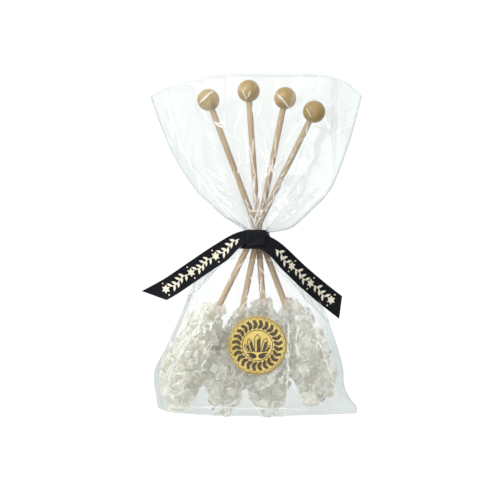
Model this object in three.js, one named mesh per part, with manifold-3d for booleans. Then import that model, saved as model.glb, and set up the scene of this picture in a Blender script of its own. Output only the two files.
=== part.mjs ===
// A clear bag of four rock candy sticks. A ribbon ties the bag's neck round the crossed sticks, the beads stand in the
// bag's open mouth, and a round label is stuck on its front. The pack lies on its back.
//
// Millimetres. +X is across the bag, +Y runs from the bottom seal to the mouth, +Z is up from the table.
// The origin is the middle of the pack's outline, at table level.

import * as THREE from "three";
import { mergeVertices } from "three/addons/utils/BufferGeometryUtils.js";
import Module from "manifold-3d";

const wasm = await Module();
wasm.setup();

// ---------------------------------------------------------------- driving dimensions

const CLEARANCE = 0.3; // kept between neighbouring pieces

const DOWEL = { radius: 1.6, sides: 12 };
const BEAD = { radius: 5.5, socketDepth: 4.5, arcSteps: 8, sides: 16 };

// Each stick is straight: from the centre of its bead, through the tie, to the top of its candy.
// lumps are the swellings of the candy down the stick, each [x, y, radius].
const STICKS = [
  {
    bead: [-21.8, 72.4, 6.7],
    candyTop: [16.2, -28.3, 9.7],
    lumps: [
      [20, -32.8, 6], [22.5, -40.3, 7.7], [25.5, -48.8, 8.5], [28, -56.8, 9],
      [31, -64.8, 10], [32, -71.8, 9.6], [30.5, -76.6, 7],
    ],
  },
  {
    bead: [-1.7, 77.1, 13.4],
    candyTop: [5.6, -29.9, 11.5],
    lumps: [
      [5, -33.8, 6.8], [6.5, -41.8, 7.4], [7, -50.3, 7.7], [7.5, -58.8, 8.4],
      [8, -67.8, 9.6], [8.8, -75.3, 8.6], [11, -80.4, 4.4],
    ],
  },
  {
    bead: [16.6, 73.3, 19.8],
    candyTop: [-5, -33.2, 13.2],
    lumps: [
      [-5, -36.4, 5.6], [-7, -42.8, 7.2], [-8.9, -50.3, 7.9], [-11, -58.8, 8.2],
      [-13, -67.8, 9], [-14.3, -76, 7.6], [-15, -80.6, 4.6],
    ],
  },
  {
    bead: [31, 66.4, 23.9],
    candyTop: [-16.6, -30.7, 15.9],
    lumps: [
      [-19.8, -34.6, 6.2], [-24.4, -41.8, 8.4], [-28, -50.3, 8.9],
      [-34, -60.4, 9.5], [-36.4, -69, 9.6], [-37, -75.8, 6.6],
    ],
  },
];

// The crystals that stud a candy: their spacing, their least and greatest size, how far the middle of one lies below
// the candy's surface, and the most that one leans, in radians.
const CRYSTALS = { step: 5.9, least: 4.4, greatest: 6.6, sink: 1.4, lean: 0.6, seed: 20 };
const CORE = { sides: 9, rings: 6 };

// The gathered neck, and the tie round it where the shut half of the bag meets the open half.
const NECK = { left: -3.1, right: 7.6, side: 13.75, front: 21.5, back: 6 };
const TIE_Y = 3.2;
const NECK_TOP = 7.6; // where the open half starts to spread

// The shut half of the bag. Each station is [y, left x, right x, side z, front z, back z]; a back below the table is
// cut off flat.
const SEAL_Y = -84.5;
const POUCH = [
  [SEAL_Y, -46.5, 52.6, 0.5, 0.9, 0],
  [-83.7, -46.8, 52.5, 0.8, 5, -0.8],
  [-81, -47.2, 52, 2, 11, -1.5],
  [-76, -47.6, 48.2, 5, 14.4, -1.5],
  [-69.5, -48.4, 45.6, 7, 15.4, -1.5],
  [-62, -47.8, 45, 8, 15.4, -1.5],
  [-52.5, -42.6, 42.4, 8.5, 15.2, -1.5],
  [-42.5, -37.8, 38.8, 9, 14.6, -0.8],
  [-32.5, -33, 34.2, 9.5, 14.4, 0.6],
  [-25, -29.6, 27.5, 10.5, 15.4, 2],
  [-17.5, -24.8, 19.5, 11.8, 17.4, 3.6],
  [-10, -15.4, 13.6, 13, 19.6, 5],
  [-3, -5.9, 9.6, 13.7, 21, 5.9],
  [TIE_Y - CLEARANCE / 2, NECK.left, NECK.right, NECK.side, NECK.front, NECK.back],
];
const POUCH_MESH = { steps: 26, sides: 28 };
const SEAL_BOW = -1.3; // how far the middle of the seal lies below its corners
const SEAL_CORNER = 3.2; // how far its left corner is drawn up

// The open half of the bag hangs on four rails, from the tie to the mouth. left and right are [x, y, z] along the side
// folds; front and back are [y, z] along the middle of each face. The wall is thicker than real film, to be a solid.
const MOUTH_Y = TIE_Y + CLEARANCE / 2;
const MOUTH = {
  left: [
    [NECK.left, MOUTH_Y, NECK.side], [NECK.left, NECK_TOP, NECK.side], [-9.5, 11, 12.5], [-16, 15, 11],
    [-22, 20.6, 9.5], [-28.5, 27.5, 8], [-38.5, 42.5, 7], [-46, 60, 6], [-51, 74.5, 5.5],
  ],
  right: [
    [NECK.right, MOUTH_Y, NECK.side], [NECK.right, NECK_TOP, NECK.side], [13.5, 8.6, 13], [20, 10.4, 12],
    [29, 18, 10.5], [37, 25.6, 9], [42, 34, 8], [49, 53, 7], [55, 74.5, 6],
  ],
  front: [
    [MOUTH_Y, NECK.front], [NECK_TOP, NECK.front], [15.2, 22.6], [22.2, 24],
    [30.2, 26], [39.8, 28], [52.2, 30.2], [69.2, 31.5], [84.4, 31.6],
  ],
  back: [
    [MOUTH_Y, NECK.back], [NECK_TOP, NECK.back], [15.2, 4.5], [22.2, 3],
    [30.2, 1.6], [39.8, 0.6], [52.2, 0.1], [69.2, 0], [85.6, 0],
  ],
};
const MOUTH_MESH = { steps: 11, sides: 36 };
const MOUTH_WALL = 0.5;
const MOUTH_SKEW = 0.56; // how far right of the middle the highest bead lifts the front, from 0 to 1
const MOUTH_TIP = 0.35; // how far right of the middle the top edge reaches highest, from 0 to 1
const PLEATS = { count: 11, depth: 0.55, start: 0.15 }; // gathers that run out from the neck

const LABEL = { centre: [2.85, -50.6], radius: 15, thickness: 0.4, z: 20.7, sides: 44 };
const LABEL_SEAT = { depth: 4, flare: 4 }; // the film that the label holds flat, and slopes from its rim

// The turn of ribbon stands off the neck, further at its foot, where the sticks already spread.
const RIBBON = { width: 10, thickness: 0.6, top: 6.5, bottom: -1.9, standOff: 0.4, footStandOff: 2.7 };
const KNOT = { centre: [2.3, 3.1, 23.2], size: [10.6, 8.9, 2.6] };
// Each tail runs over these points from the knot. slant is how much longer its upper edge is than its lower edge, and
// roll how far it turns over on the way, in radians.
const TAILS = [
  {
    path: [[0.5, 3.1, 23.2], [-7, 1, 22.6], [-17, -4.8, 19.2], [-29, -12.8, 10.8], [-41, -20.9, 3], [-53, -27.5, 0.6]],
    slant: 9,
    roll: 0,
  },
  {
    path: [[3, 1.5, 23], [9.2, -1.6, 22.4], [14.5, -5.6, 20.6], [24.5, -15, 13.6], [35, -24, 5.2], [46.7, -33, 1.7]],
    slant: -5.6,
    roll: -0.35,
  },
];
const TAIL_STEPS = 16;

const FAR = 200; // a size past the whole pack, for cutting blocks

// ---------------------------------------------------------------- numbers and curves

const mix = (a, b, t) => a + (b - a) * t;
const clamp = (value) => Math.min(1, Math.max(0, value));
const signedPower = (value, power) => Math.sign(value) * Math.abs(value) ** power;

/** How far a place from -1 to 1 lies from a peak, where 1 is the end on its side of the peak. */
const distanceFrom = (peak, place) => Math.abs(place - peak) / (place > peak ? 1 - peak : 1 + peak);

/** A repeatable source of numbers from 0 to 1. */
function randomFrom(seed) {
  let state = seed;
  return () => {
    state = (state * 1664525 + 1013904223) % 4294967296;
    return state / 4294967296;
  };
}

/** A smooth curve through four values: the value a part of the way from the second to the third. */
function smoothStep(before, from, to, after, part) {
  const slope = to - before;
  const bend = 2 * before - 5 * from + 4 * to - after;
  const twist = 3 * from - before - 3 * to + after;
  return 0.5 * (2 * from + slope * part + bend * part ** 2 + twist * part ** 3);
}

/** A smooth curve through rows of numbers: one row for each t from 0 to 1. */
function rowsCurve(rows) {
  const last = rows.length - 1;
  return (t) => {
    const first = Math.min(Math.floor(t * last), last - 1);
    const part = t * last - first;
    return rows[0].map((_, column) => {
      const value = (row) => rows[Math.min(Math.max(row, 0), last)][column];
      return smoothStep(value(first - 1), value(first), value(first + 1), value(first + 2), part);
    });
  };
}

// ---------------------------------------------------------------- making solids

/** The solid that a closed geometry bounds. */
function solid(geometry) {
  const bare = geometry.clone();
  bare.deleteAttribute("normal");
  bare.deleteAttribute("uv");
  const merged = mergeVertices(bare, 1e-4);
  return new wasm.Manifold(
    new wasm.Mesh({
      numProp: 3,
      vertProperties: new Float32Array(merged.attributes.position.array),
      triVerts: new Uint32Array(merged.index.array),
    }),
  );
}

/** The solid that a closed geometry bounds, whichever way its reshaping left its faces. */
function outwardSolid(geometry) {
  const made = solid(geometry);
  if (made.volume() > 0) return made;
  const turned = geometry.clone();
  const index = turned.index.array;
  for (let i = 0; i < index.length; i += 3) [index[i], index[i + 1]] = [index[i + 1], index[i]];
  return solid(turned);
}

/** A solid's surface as a geometry with flat facets. */
function surface(made) {
  const mesh = made.getMesh();
  const geometry = new THREE.BufferGeometry();
  geometry.setAttribute("position", new THREE.BufferAttribute(new Float32Array(mesh.vertProperties), 3));
  geometry.setIndex(new THREE.BufferAttribute(new Uint32Array(mesh.triVerts), 1));
  const faceted = geometry.toNonIndexed();
  faceted.computeVertexNormals();
  return faceted;
}

/** The same geometry with each vertex moved to place(vertex). */
function reshaped(geometry, place) {
  const position = geometry.attributes.position;
  const vertex = new THREE.Vector3();
  for (let i = 0; i < position.count; i++) {
    const moved = place(vertex.fromBufferAttribute(position, i));
    position.setXYZ(i, moved.x, moved.y, moved.z);
  }
  geometry.computeVertexNormals();
  return geometry;
}

const union = (solids) => solids.reduce((all, one) => all.add(one));

const turnTo = (direction) => new THREE.Quaternion().setFromUnitVectors(new THREE.Vector3(0, 1, 0), direction);

/** A closed lathe profile: a wall between radius 1 and radius 2, from bottom to top, for reshaping into a sleeve. */
function sleeveProfile(bottom, top, steps) {
  const height = (i) => mix(bottom, top, i / steps);
  const outer = Array.from({ length: steps + 1 }, (_, i) => new THREE.Vector2(2, height(i)));
  const inner = Array.from({ length: steps + 1 }, (_, i) => new THREE.Vector2(1, height(steps - i)));
  return [...outer, ...inner, outer[0].clone()];
}

/** Whether a vertex of a sleeve is on its outer wall, and its angle round the sleeve. */
function sleevePlace(vertex) {
  return { outer: Math.hypot(vertex.x, vertex.z) > 1.5, angle: Math.atan2(vertex.z, vertex.x) };
}

// ---------------------------------------------------------------- sticks

/** The stick's line: its unit direction from bead to candy, and its point at a given y. */
function lineOf(stick) {
  const bead = new THREE.Vector3(...stick.bead);
  const direction = new THREE.Vector3(...stick.candyTop).sub(bead).normalize();
  const atY = (y) => bead.clone().addScaledVector(direction, (y - bead.y) / direction.y);
  return { bead, direction, atY };
}

/** A round rod from one point to another. */
function rod(from, to, radius) {
  const geometry = new THREE.CylinderGeometry(radius, radius, from.distanceTo(to), DOWEL.sides);
  geometry.applyQuaternion(turnTo(to.clone().sub(from).normalize()));
  return geometry.translate(...from.clone().add(to).multiplyScalar(0.5));
}

/** The dowel from its socket in the bead to just above the tie. */
function dowelGeometry(stick) {
  const { bead, direction, atY } = lineOf(stick);
  const endLean = DOWEL.radius * Math.sqrt(1 - direction.y ** 2);
  const socketFloor = BEAD.radius - BEAD.socketDepth;
  const from = bead.clone().addScaledVector(direction, socketFloor + CLEARANCE);
  return rod(from, atY(MOUTH_Y + CLEARANCE / 2 + endLean), DOWEL.radius);
}

/** A turned wooden bead with a blind socket for its dowel. */
function beadGeometry(stick) {
  const { bead, direction } = lineOf(stick);
  const socketRadius = DOWEL.radius + CLEARANCE;
  const socketFloor = BEAD.radius - BEAD.socketDepth;
  const rimAngle = Math.asin(socketRadius / BEAD.radius);
  const profile = [new THREE.Vector2(0, -BEAD.radius)];
  for (let i = 1; i <= BEAD.arcSteps; i++) {
    const angle = mix(Math.PI, rimAngle, i / BEAD.arcSteps);
    profile.push(new THREE.Vector2(BEAD.radius * Math.sin(angle), BEAD.radius * Math.cos(angle)));
  }
  profile.push(new THREE.Vector2(socketRadius, socketFloor), new THREE.Vector2(0, socketFloor));
  const geometry = new THREE.LatheGeometry(profile, BEAD.sides);
  return geometry.applyQuaternion(turnTo(direction)).translate(...bead);
}

// ---------------------------------------------------------------- the shut half of the bag

/** The pouch of film: a flat back, a rounded front, thin lips at the seal and a round neck. */
function pouchEnvelope() {
  const station = rowsCurve(POUCH);
  const geometry = new THREE.CylinderGeometry(1, 1, 1, POUCH_MESH.sides, POUCH_MESH.steps);
  return reshaped(geometry, (vertex) => {
    const along = vertex.y + 0.5;
    const reach = clamp(Math.hypot(vertex.x, vertex.z));
    const angle = Math.atan2(vertex.z, vertex.x);
    const [y, left, right, side, front, back] = station(along);
    const roundness = mix(0.85, 0.5, along ** 3);
    const across = reach * signedPower(Math.cos(angle), roundness);
    const up = reach * signedPower(Math.sin(angle), roundness);
    const height = up > 0 ? front - side : side - back;
    const bow = SEAL_BOW * (1 - across ** 2) + SEAL_CORNER * Math.max(0, -across) ** 6;
    const x = mix(left, right, (across + 1) / 2);
    return new THREE.Vector3(x, y + bow * (1 - along) ** 6, side + up * height);
  });
}

/** One sugar crystal standing on a surface: a slanted prism whose foot is wider than its tip. */
function crystal(random, foot, outwards) {
  const size = mix(CRYSTALS.least, CRYSTALS.greatest, random());
  const slant = mix(-0.3, 0.3, random());
  const geometry = new THREE.CylinderGeometry(size * 0.42, size * 0.62, size, 4);
  reshaped(geometry, (vertex) => new THREE.Vector3(vertex.x + slant * vertex.y, vertex.y, vertex.z * 0.8));
  const leaning = new THREE.Quaternion().setFromAxisAngle(
    new THREE.Vector3(random() - 0.5, random() - 0.5, random() - 0.5).normalize(),
    CRYSTALS.lean * random(),
  );
  geometry.rotateY(random() * Math.PI).applyQuaternion(turnTo(outwards)).applyQuaternion(leaning);
  return geometry.translate(...foot);
}

/** Directions spread evenly over the upper half of a ball. */
function upwardDirections(count, random) {
  const goldenAngle = Math.PI * (3 - Math.sqrt(5));
  return Array.from({ length: count }, (_, i) => {
    const height = (i + 0.5) / count;
    const level = Math.sqrt(1 - height ** 2);
    const turn = i * goldenAngle + random();
    return new THREE.Vector3(level * Math.cos(turn), level * Math.sin(turn), height);
  });
}

/** The candy on one stick: a rounded core at each lump, studded with crystals wherever it shows. */
function candySolids(stick, random) {
  const { atY } = lineOf(stick);
  const lumps = stick.lumps.map(([x, y, radius]) => ({ centre: new THREE.Vector3(x, y, atY(y).z), radius }));
  const labelCentre = new THREE.Vector2(...LABEL.centre);
  const buries = (lump, point) => point.distanceTo(lump.centre) < lump.radius - CRYSTALS.sink;
  const solids = [];
  for (const lump of lumps) {
    const core = new THREE.SphereGeometry(lump.radius, CORE.sides, CORE.rings);
    solids.push(solid(core.translate(...lump.centre)));
    const count = Math.round((2 * Math.PI * lump.radius ** 2) / CRYSTALS.step ** 2);
    for (const outwards of upwardDirections(count, random)) {
      const foot = lump.centre.clone().addScaledVector(outwards, lump.radius - CRYSTALS.sink);
      const hidden = lumps.some((other) => other !== lump && buries(other, foot));
      const underLabel = labelCentre.distanceTo(foot) < LABEL.radius;
      const pastSeal = foot.y < SEAL_Y + CRYSTALS.sink;
      if (!hidden && !underLabel && !pastSeal) solids.push(solid(crystal(random, foot, outwards)));
    }
  }
  return solids;
}

/** A disc round the label's centre, from z upwards. */
function labelDisc(bottomRadius, topRadius, thickness, z) {
  const disc = new THREE.CylinderGeometry(topRadius, bottomRadius, thickness, LABEL.sides);
  return disc.rotateX(Math.PI / 2).translate(...LABEL.centre, z + thickness / 2);
}

/** The shut half: film, candies and lower sticks as one solid, with a flat seat under the label. */
function pouchGeometry() {
  const random = randomFrom(CRYSTALS.seed);
  const pieces = [solid(pouchEnvelope())];
  for (const stick of STICKS) {
    const { atY } = lineOf(stick);
    const [, topLumpY] = stick.lumps[0];
    pieces.push(solid(rod(atY(RIBBON.bottom - DOWEL.radius), atY(topLumpY), DOWEL.radius)));
    pieces.push(...candySolids(stick, random));
  }
  const seatTop = LABEL.z - CLEARANCE;
  const { depth, flare } = LABEL_SEAT;
  pieces.push(solid(labelDisc(LABEL.radius + flare, LABEL.radius, depth, seatTop - depth)));
  const block = () => new THREE.BoxGeometry(FAR, FAR, FAR);
  const cut = union([
    solid(block().translate(0, 0, -FAR / 2)),
    solid(block().translate(0, TIE_Y - CLEARANCE / 2 + FAR / 2, 0)),
    solid(labelDisc(LABEL.radius + CLEARANCE, LABEL.radius + CLEARANCE, FAR, seatTop)),
  ]);
  const bodies = union(pieces).subtract(cut).decompose();
  return surface(bodies.sort((a, b) => b.volume() - a.volume())[0]);
}

// ---------------------------------------------------------------- the open half of the bag

/** A thin wall of film from the tie to the open mouth, gathered in pleats near the tie. */
function mouthGeometry() {
  const [left, right, front, back] = [MOUTH.left, MOUTH.right, MOUTH.front, MOUTH.back].map(rowsCurve);
  const geometry = new THREE.LatheGeometry(sleeveProfile(0, 1, MOUTH_MESH.steps), MOUTH_MESH.sides);
  return reshaped(geometry, (vertex) => {
    const along = vertex.y;
    const { outer, angle } = sleevePlace(vertex);
    const isFront = Math.sin(angle) > 0;
    const [leftX, leftY, leftZ] = left(along);
    const [rightX, rightY, rightZ] = right(along);
    const [middleY, middleZ] = (isFront ? front : back)(along);
    const inset = outer ? 0 : MOUTH_WALL;
    const roundness = mix(0.5, 0.9, along ** 0.5);
    const across = signedPower(Math.cos(angle), roundness);
    const sideY = mix(leftY, rightY, (across + 1) / 2);
    const sideZ = mix(leftZ, rightZ, (across + 1) / 2);
    const peak = isFront ? MOUTH_SKEW * along : 0;
    const rise = (1 - distanceFrom(peak, across) ** (2 / roundness)) ** (roundness / 2);
    const gather = Math.sin(angle * PLEATS.count) * Math.sin(Math.PI * Math.max(0, along - PLEATS.start));
    const swell = Math.abs(middleZ - sideZ) - inset + PLEATS.depth * gather;
    const z = sideZ + rise * swell * Math.sign(middleZ - sideZ);
    const tip = 1 - distanceFrom(MOUTH_TIP * along, across) ** 4;
    const x = mix(leftX + inset, rightX - inset, (across + 1) / 2);
    return new THREE.Vector3(x, mix(sideY, middleY, tip), Math.max(z, inset));
  });
}

// ---------------------------------------------------------------- ribbon

/** The turn of ribbon round the neck. */
function ribbonTurn() {
  const geometry = new THREE.LatheGeometry(sleeveProfile(RIBBON.bottom, RIBBON.top, 1), 32);
  return reshaped(geometry, (vertex) => {
    const { outer, angle } = sleevePlace(vertex);
    const thickness = outer ? RIBBON.thickness : 0;
    const height = (vertex.y - RIBBON.bottom) / (RIBBON.top - RIBBON.bottom);
    const standOff = mix(RIBBON.footStandOff, RIBBON.standOff, height);
    const halfWidth = (NECK.right - NECK.left) / 2 + standOff + thickness;
    const halfHeight = (NECK.front - NECK.back) / 2 + RIBBON.standOff + thickness;
    const roundness = 0.5;
    return new THREE.Vector3(
      (NECK.left + NECK.right) / 2 + signedPower(Math.cos(angle), roundness) * halfWidth,
      vertex.y,
      (NECK.back + NECK.front) / 2 + signedPower(Math.sin(angle), roundness) * halfHeight,
    );
  });
}

/** The flattened knot over the front of the turn: a ball drawn out towards a rounded block. */
function ribbonKnot() {
  const [halfWidth, halfLength, halfDepth] = KNOT.size.map((size) => size / 2);
  return reshaped(new THREE.SphereGeometry(1, 16, 10), (vertex) => {
    const x = signedPower(vertex.x, 0.35) * halfWidth;
    const y = signedPower(vertex.y, 0.3) * halfLength;
    const z = signedPower(vertex.z, 0.7) * halfDepth;
    return new THREE.Vector3(x, y, z).add(new THREE.Vector3(...KNOT.centre));
  });
}

/** A flat tail of ribbon along its path, its free end cut on a slant. */
function ribbonTail({ path, slant, roll }) {
  const row = rowsCurve(path);
  const point = (t) => new THREE.Vector3(...row(clamp(t)));
  const length = new THREE.CatmullRomCurve3(path.map((p) => new THREE.Vector3(...p))).getLength();
  const geometry = new THREE.BoxGeometry(1, RIBBON.width, RIBBON.thickness, TAIL_STEPS, 2, 1);
  return reshaped(geometry, (vertex) => {
    const reach = 1 + ((slant * vertex.y) / RIBBON.width - Math.abs(slant) / 2) / length;
    const t = (vertex.x + 0.5) * reach;
    const ahead = point(t + 0.01).sub(point(t - 0.01)).normalize();
    const across = new THREE.Vector3(-ahead.y, ahead.x, 0).normalize();
    if (across.y < 0) across.negate();
    across.applyAxisAngle(ahead, roll * Math.sin(Math.PI * t));
    const normal = new THREE.Vector3().crossVectors(ahead, across);
    if (normal.z < 0) normal.negate();
    return point(t).addScaledVector(across, vertex.y).addScaledVector(normal, vertex.z);
  });
}

/** The whole ribbon: one strip, tied. */
function ribbonGeometry() {
  return surface(union([ribbonTurn(), ribbonKnot(), ...TAILS.map(ribbonTail)].map(outwardSolid)));
}

// ---------------------------------------------------------------- assembly

const materials = {
  film: new THREE.MeshStandardMaterial({ color: 0xe6efec, roughness: 0.15, metalness: 0 }),
  dowel: new THREE.MeshStandardMaterial({ color: 0xc7a987, roughness: 0.65, metalness: 0 }),
  bead: new THREE.MeshStandardMaterial({ color: 0xc3a56c, roughness: 0.35, metalness: 0 }),
  ribbon: new THREE.MeshStandardMaterial({ color: 0x1b1d22, roughness: 0.5, metalness: 0 }),
  label: new THREE.MeshStandardMaterial({ color: 0xd8b866, roughness: 0.4, metalness: 0.4 }),
};

const pack = new THREE.Group();

/** Adds one named piece to the pack. */
function add(name, geometry, material) {
  const mesh = new THREE.Mesh(geometry, material);
  mesh.name = name;
  pack.add(mesh);
}

add("bag_pouch", pouchGeometry(), materials.film);
add("bag_mouth", surface(outwardSolid(mouthGeometry())), materials.film);
STICKS.forEach((stick, i) => {
  add(`dowel_${i + 1}`, dowelGeometry(stick), materials.dowel);
  add(`bead_${i + 1}`, surface(outwardSolid(beadGeometry(stick))), materials.bead);
});
add("ribbon", ribbonGeometry(), materials.ribbon);
add("label", labelDisc(LABEL.radius, LABEL.radius, LABEL.thickness, LABEL.z), materials.label);

export default pack;
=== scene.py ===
"""A clear bag of four rock candy sticks, tied with a printed satin ribbon and closed with a round foil label.

The pack lies on its back. Sizes are in millimetres and a finished mesh is scaled to metres. +X is across the bag, +Y
runs from its bottom seal to its open mouth and +Z is up from the table.
"""

import logging
import math
import random
from collections.abc import Callable, Sequence
from dataclasses import dataclass, field
from enum import Enum
from functools import cached_property

import bmesh
import bpy
import numpy as np
from bmesh.types import BMEdge, BMesh, BMVert
from bpy.types import Material, Mesh, NodeSocket, NodeTree, Object
from mathutils import Matrix, Vector, noise
from mathutils.bvhtree import BVHTree
from mathutils.geometry import delaunay_2d_cdt


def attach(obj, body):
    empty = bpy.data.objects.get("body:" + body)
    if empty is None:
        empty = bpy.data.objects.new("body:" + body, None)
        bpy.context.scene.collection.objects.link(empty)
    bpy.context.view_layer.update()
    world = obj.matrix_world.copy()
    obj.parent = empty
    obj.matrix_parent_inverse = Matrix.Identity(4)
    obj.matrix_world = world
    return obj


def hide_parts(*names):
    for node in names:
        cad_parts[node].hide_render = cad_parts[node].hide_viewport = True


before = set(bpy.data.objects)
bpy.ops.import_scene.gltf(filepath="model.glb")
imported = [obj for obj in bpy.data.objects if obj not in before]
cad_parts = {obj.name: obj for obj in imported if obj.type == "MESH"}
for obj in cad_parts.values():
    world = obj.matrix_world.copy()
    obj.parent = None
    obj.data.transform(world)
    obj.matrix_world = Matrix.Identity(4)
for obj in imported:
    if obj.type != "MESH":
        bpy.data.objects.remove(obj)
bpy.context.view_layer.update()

LOG = logging.getLogger("rock_candy_pack")
MM = 0.001
ROOT = "root"
SEAM = 0.001  # points nearer than this are one point
TABLE_GAP = 0.1  # what the film keeps above the table, and its contents above the film


# ---------------------------------------------------------------- numbers and curves


def mix(start: float, end: float, part: float) -> float:
    """A number a part of the way from start to end; it takes arrays too."""
    return start + (end - start) * part


def signed_power(value: np.ndarray, power: float) -> np.ndarray:
    """A power that keeps the sign of its value."""
    return np.sign(value) * np.abs(value) ** power


def smooth_between(low: float, high: float, value: np.ndarray) -> np.ndarray:
    """0 below low, 1 above high and an even S between them."""
    part = np.clip((np.asarray(value, float) - low) / (high - low), 0, 1)
    return part * part * (3 - 2 * part)


class RowsCurve:
    """A smooth curve through rows of numbers, one row for each even step of t from 0 to 1."""

    def __init__(self, rows: Sequence[Sequence[float]]) -> None:
        """Keeps the rows, with the first and last repeated at the ends.

        Args:
            rows: The rows that the curve runs through.
        """
        table = np.array(rows, float)
        self.padded = np.vstack([table[:1], table, table[-1:]])
        self.last = len(table) - 1

    def at(self, t: np.ndarray) -> np.ndarray:
        """The curve's row at each t.

        Args:
            t: Places from 0 to 1, in any shape.

        Returns:
            Rows in the shape of t, with one more axis for the columns.
        """
        place = np.clip(np.asarray(t, float), 0, 1) * self.last
        first = np.minimum(place.astype(int), self.last - 1)
        part = (place - first)[..., None]
        before, start, end, after = (self.padded[first + step] for step in range(4))
        slope = end - before
        bend = 2 * before - 5 * start + 4 * end - after
        twist = 3 * start - before - 3 * end + after
        return 0.5 * (2 * start + slope * part + bend * part**2 + twist * part**3)


# ---------------------------------------------------------------- the pack's driving sizes


@dataclass(frozen=True)
class Stick:
    """One straight stick.

    It has the middle of its bead, the top of its candy, the lumps [x, y, radius] of the candy, and the least and most
    milky that the candy's crystals are.
    """

    bead: tuple[float, float, float]
    candy_top: tuple[float, float, float]
    lumps: tuple[tuple[float, float, float], ...]
    milk: tuple[float, float]

    @property
    def direction(self) -> Vector:
        """The unit direction from the bead to the candy."""
        return (Vector(self.candy_top) - Vector(self.bead)).normalized()

    def at_y(self, y: float) -> Vector:
        """The point of the stick's line at a given y."""
        return Vector(self.bead) + self.direction * ((y - self.bead[1]) / self.direction.y)

    @cached_property
    def axis(self) -> RowsCurve:
        """The candy's lumps as a curve of [x, y, z, radius]."""
        return RowsCurve([(x, y, self.at_y(y).z, radius) for x, y, radius in self.lumps])


STICKS = (
    Stick(
        bead=(-21.8, 72.8, 6.7),
        candy_top=(16.2, -28.3, 9.7),
        lumps=(
            (20, -32.8, 6), (22.5, -40.3, 7.7), (25.5, -48.8, 8.5), (28, -56.8, 9),
            (31, -63.8, 9.8), (32, -69.6, 9.4), (30.8, -73.6, 7),
        ),
        milk=(0.2, 0.85),
    ),
    Stick(
        bead=(-1.7, 77.1, 13.4),
        candy_top=(5.6, -29.9, 11.5),
        lumps=(
            (5, -33.8, 6.8), (6.5, -41.8, 7.4), (7, -50.3, 7.7), (7.5, -58.8, 8.4),
            (8, -67.8, 9.6), (8.8, -75.3, 8.6), (11, -80.4, 4.4),
        ),
        milk=(0.15, 0.85),
    ),
    Stick(
        bead=(16.6, 73.3, 19.8),
        candy_top=(-5, -33.2, 13.2),
        lumps=(
            (-5, -36.4, 5.6), (-7, -42.8, 7.2), (-8.9, -50.3, 7.9), (-11, -58.8, 8.2),
            (-13, -67.8, 9), (-14.3, -76, 7.6), (-15, -80.6, 4.6),
        ),
        milk=(0.3, 1.0),
    ),
    Stick(
        bead=(31, 66.4, 23.9),
        candy_top=(-16.6, -30.7, 15.9),
        lumps=(
            (-19.8, -34.6, 6.2), (-24.4, -41.8, 8.4), (-28, -50.3, 8.9),
            (-33.4, -60.4, 9.8), (-36, -69, 9.8), (-37, -75.8, 6.8),
        ),
        milk=(0.8, 1.5),
    ),
)
DOWEL_RADIUS = 1.5
BEAD_RADIUS = 5.6
SOCKET_DEPTH = 4.5

TIE_Y = 3.2
SEAL_Y = -84.5
NECK_LEFT, NECK_RIGHT, NECK_SIDE, NECK_FRONT, NECK_BACK = -3.1, 7.6, 13.75, 21.5, 6.0
NECK_MIDDLE = (NECK_LEFT + NECK_RIGHT) / 2

LABEL_CENTRE = (2.75, -50.1)
LABEL_RADIUS = 14.7
LABEL_Z = 20.7


# ---------------------------------------------------------------- materials


def linear(colour: str) -> tuple[float, float, float, float]:
    """Turns an sRGB hex colour into a linear one.

    Args:
        colour: Six hex digits after a #.

    Returns:
        Red, green, blue and an alpha of 1.
    """
    channels = [int(colour[i : i + 2], 16) / 255 for i in (1, 3, 5)]
    red, green, blue = (c / 12.92 if c <= 0.04045 else ((c + 0.055) / 1.055) ** 2.4 for c in channels)
    return red, green, blue, 1.0


def add_node(tree: NodeTree, kind: str, inputs: dict | None = None, out: int | str = 0,
             stops: Sequence[tuple] = (), **settings: object) -> NodeSocket | None:
    """Adds one node with its settings, and its inputs as values or links.

    Args:
        tree: The node tree.
        kind: The node's type, without the words that every type starts with.
        inputs: A value or an output socket for each input, by the input's name or number.
        out: The name or number of the output that is wanted.
        stops: For a colour ramp, a place from 0 to 1 and a hex or linear colour for each stop.
        **settings: Properties of the node.

    Returns:
        The output, or None where the node has none.
    """
    node = tree.nodes.new(f"ShaderNode{kind}")
    for name, value in settings.items():
        setattr(node, name, value)
    for key, value in (inputs or {}).items():
        if isinstance(value, NodeSocket):
            tree.links.new(value, node.inputs[key])
        else:
            node.inputs[key].default_value = value
    if stops:
        elements = node.color_ramp.elements
        while len(elements) < len(stops):
            elements.new(0.5)
        for element, (place, colour) in zip(elements, stops):
            element.position = place
            element.color = linear(colour) if isinstance(colour, str) else colour
    return node.outputs[out] if node.outputs else None


def grain_of_size(tree: NodeTree, vector: NodeSocket, size: tuple, detail: float = 2.0,
                  roughness: float = 0.5) -> NodeSocket:
    """Adds a soft pattern whose blotches have a given real size.

    Args:
        tree: The node tree.
        vector: Coordinates in metres or millimetres.
        size: The blotches' size along each axis, in the units of vector.
        detail: How many finer octaves there are.
        roughness: How strong the finer octaves are.

    Returns:
        The pattern, from 0 to 1.
    """
    scaled = add_node(tree, "VectorMath", {0: vector, 1: size}, operation="DIVIDE")
    inputs = {"Vector": scaled, "Scale": 1.0, "Detail": detail, "Roughness": roughness}
    return add_node(tree, "TexNoise", inputs, "Fac")


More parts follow.
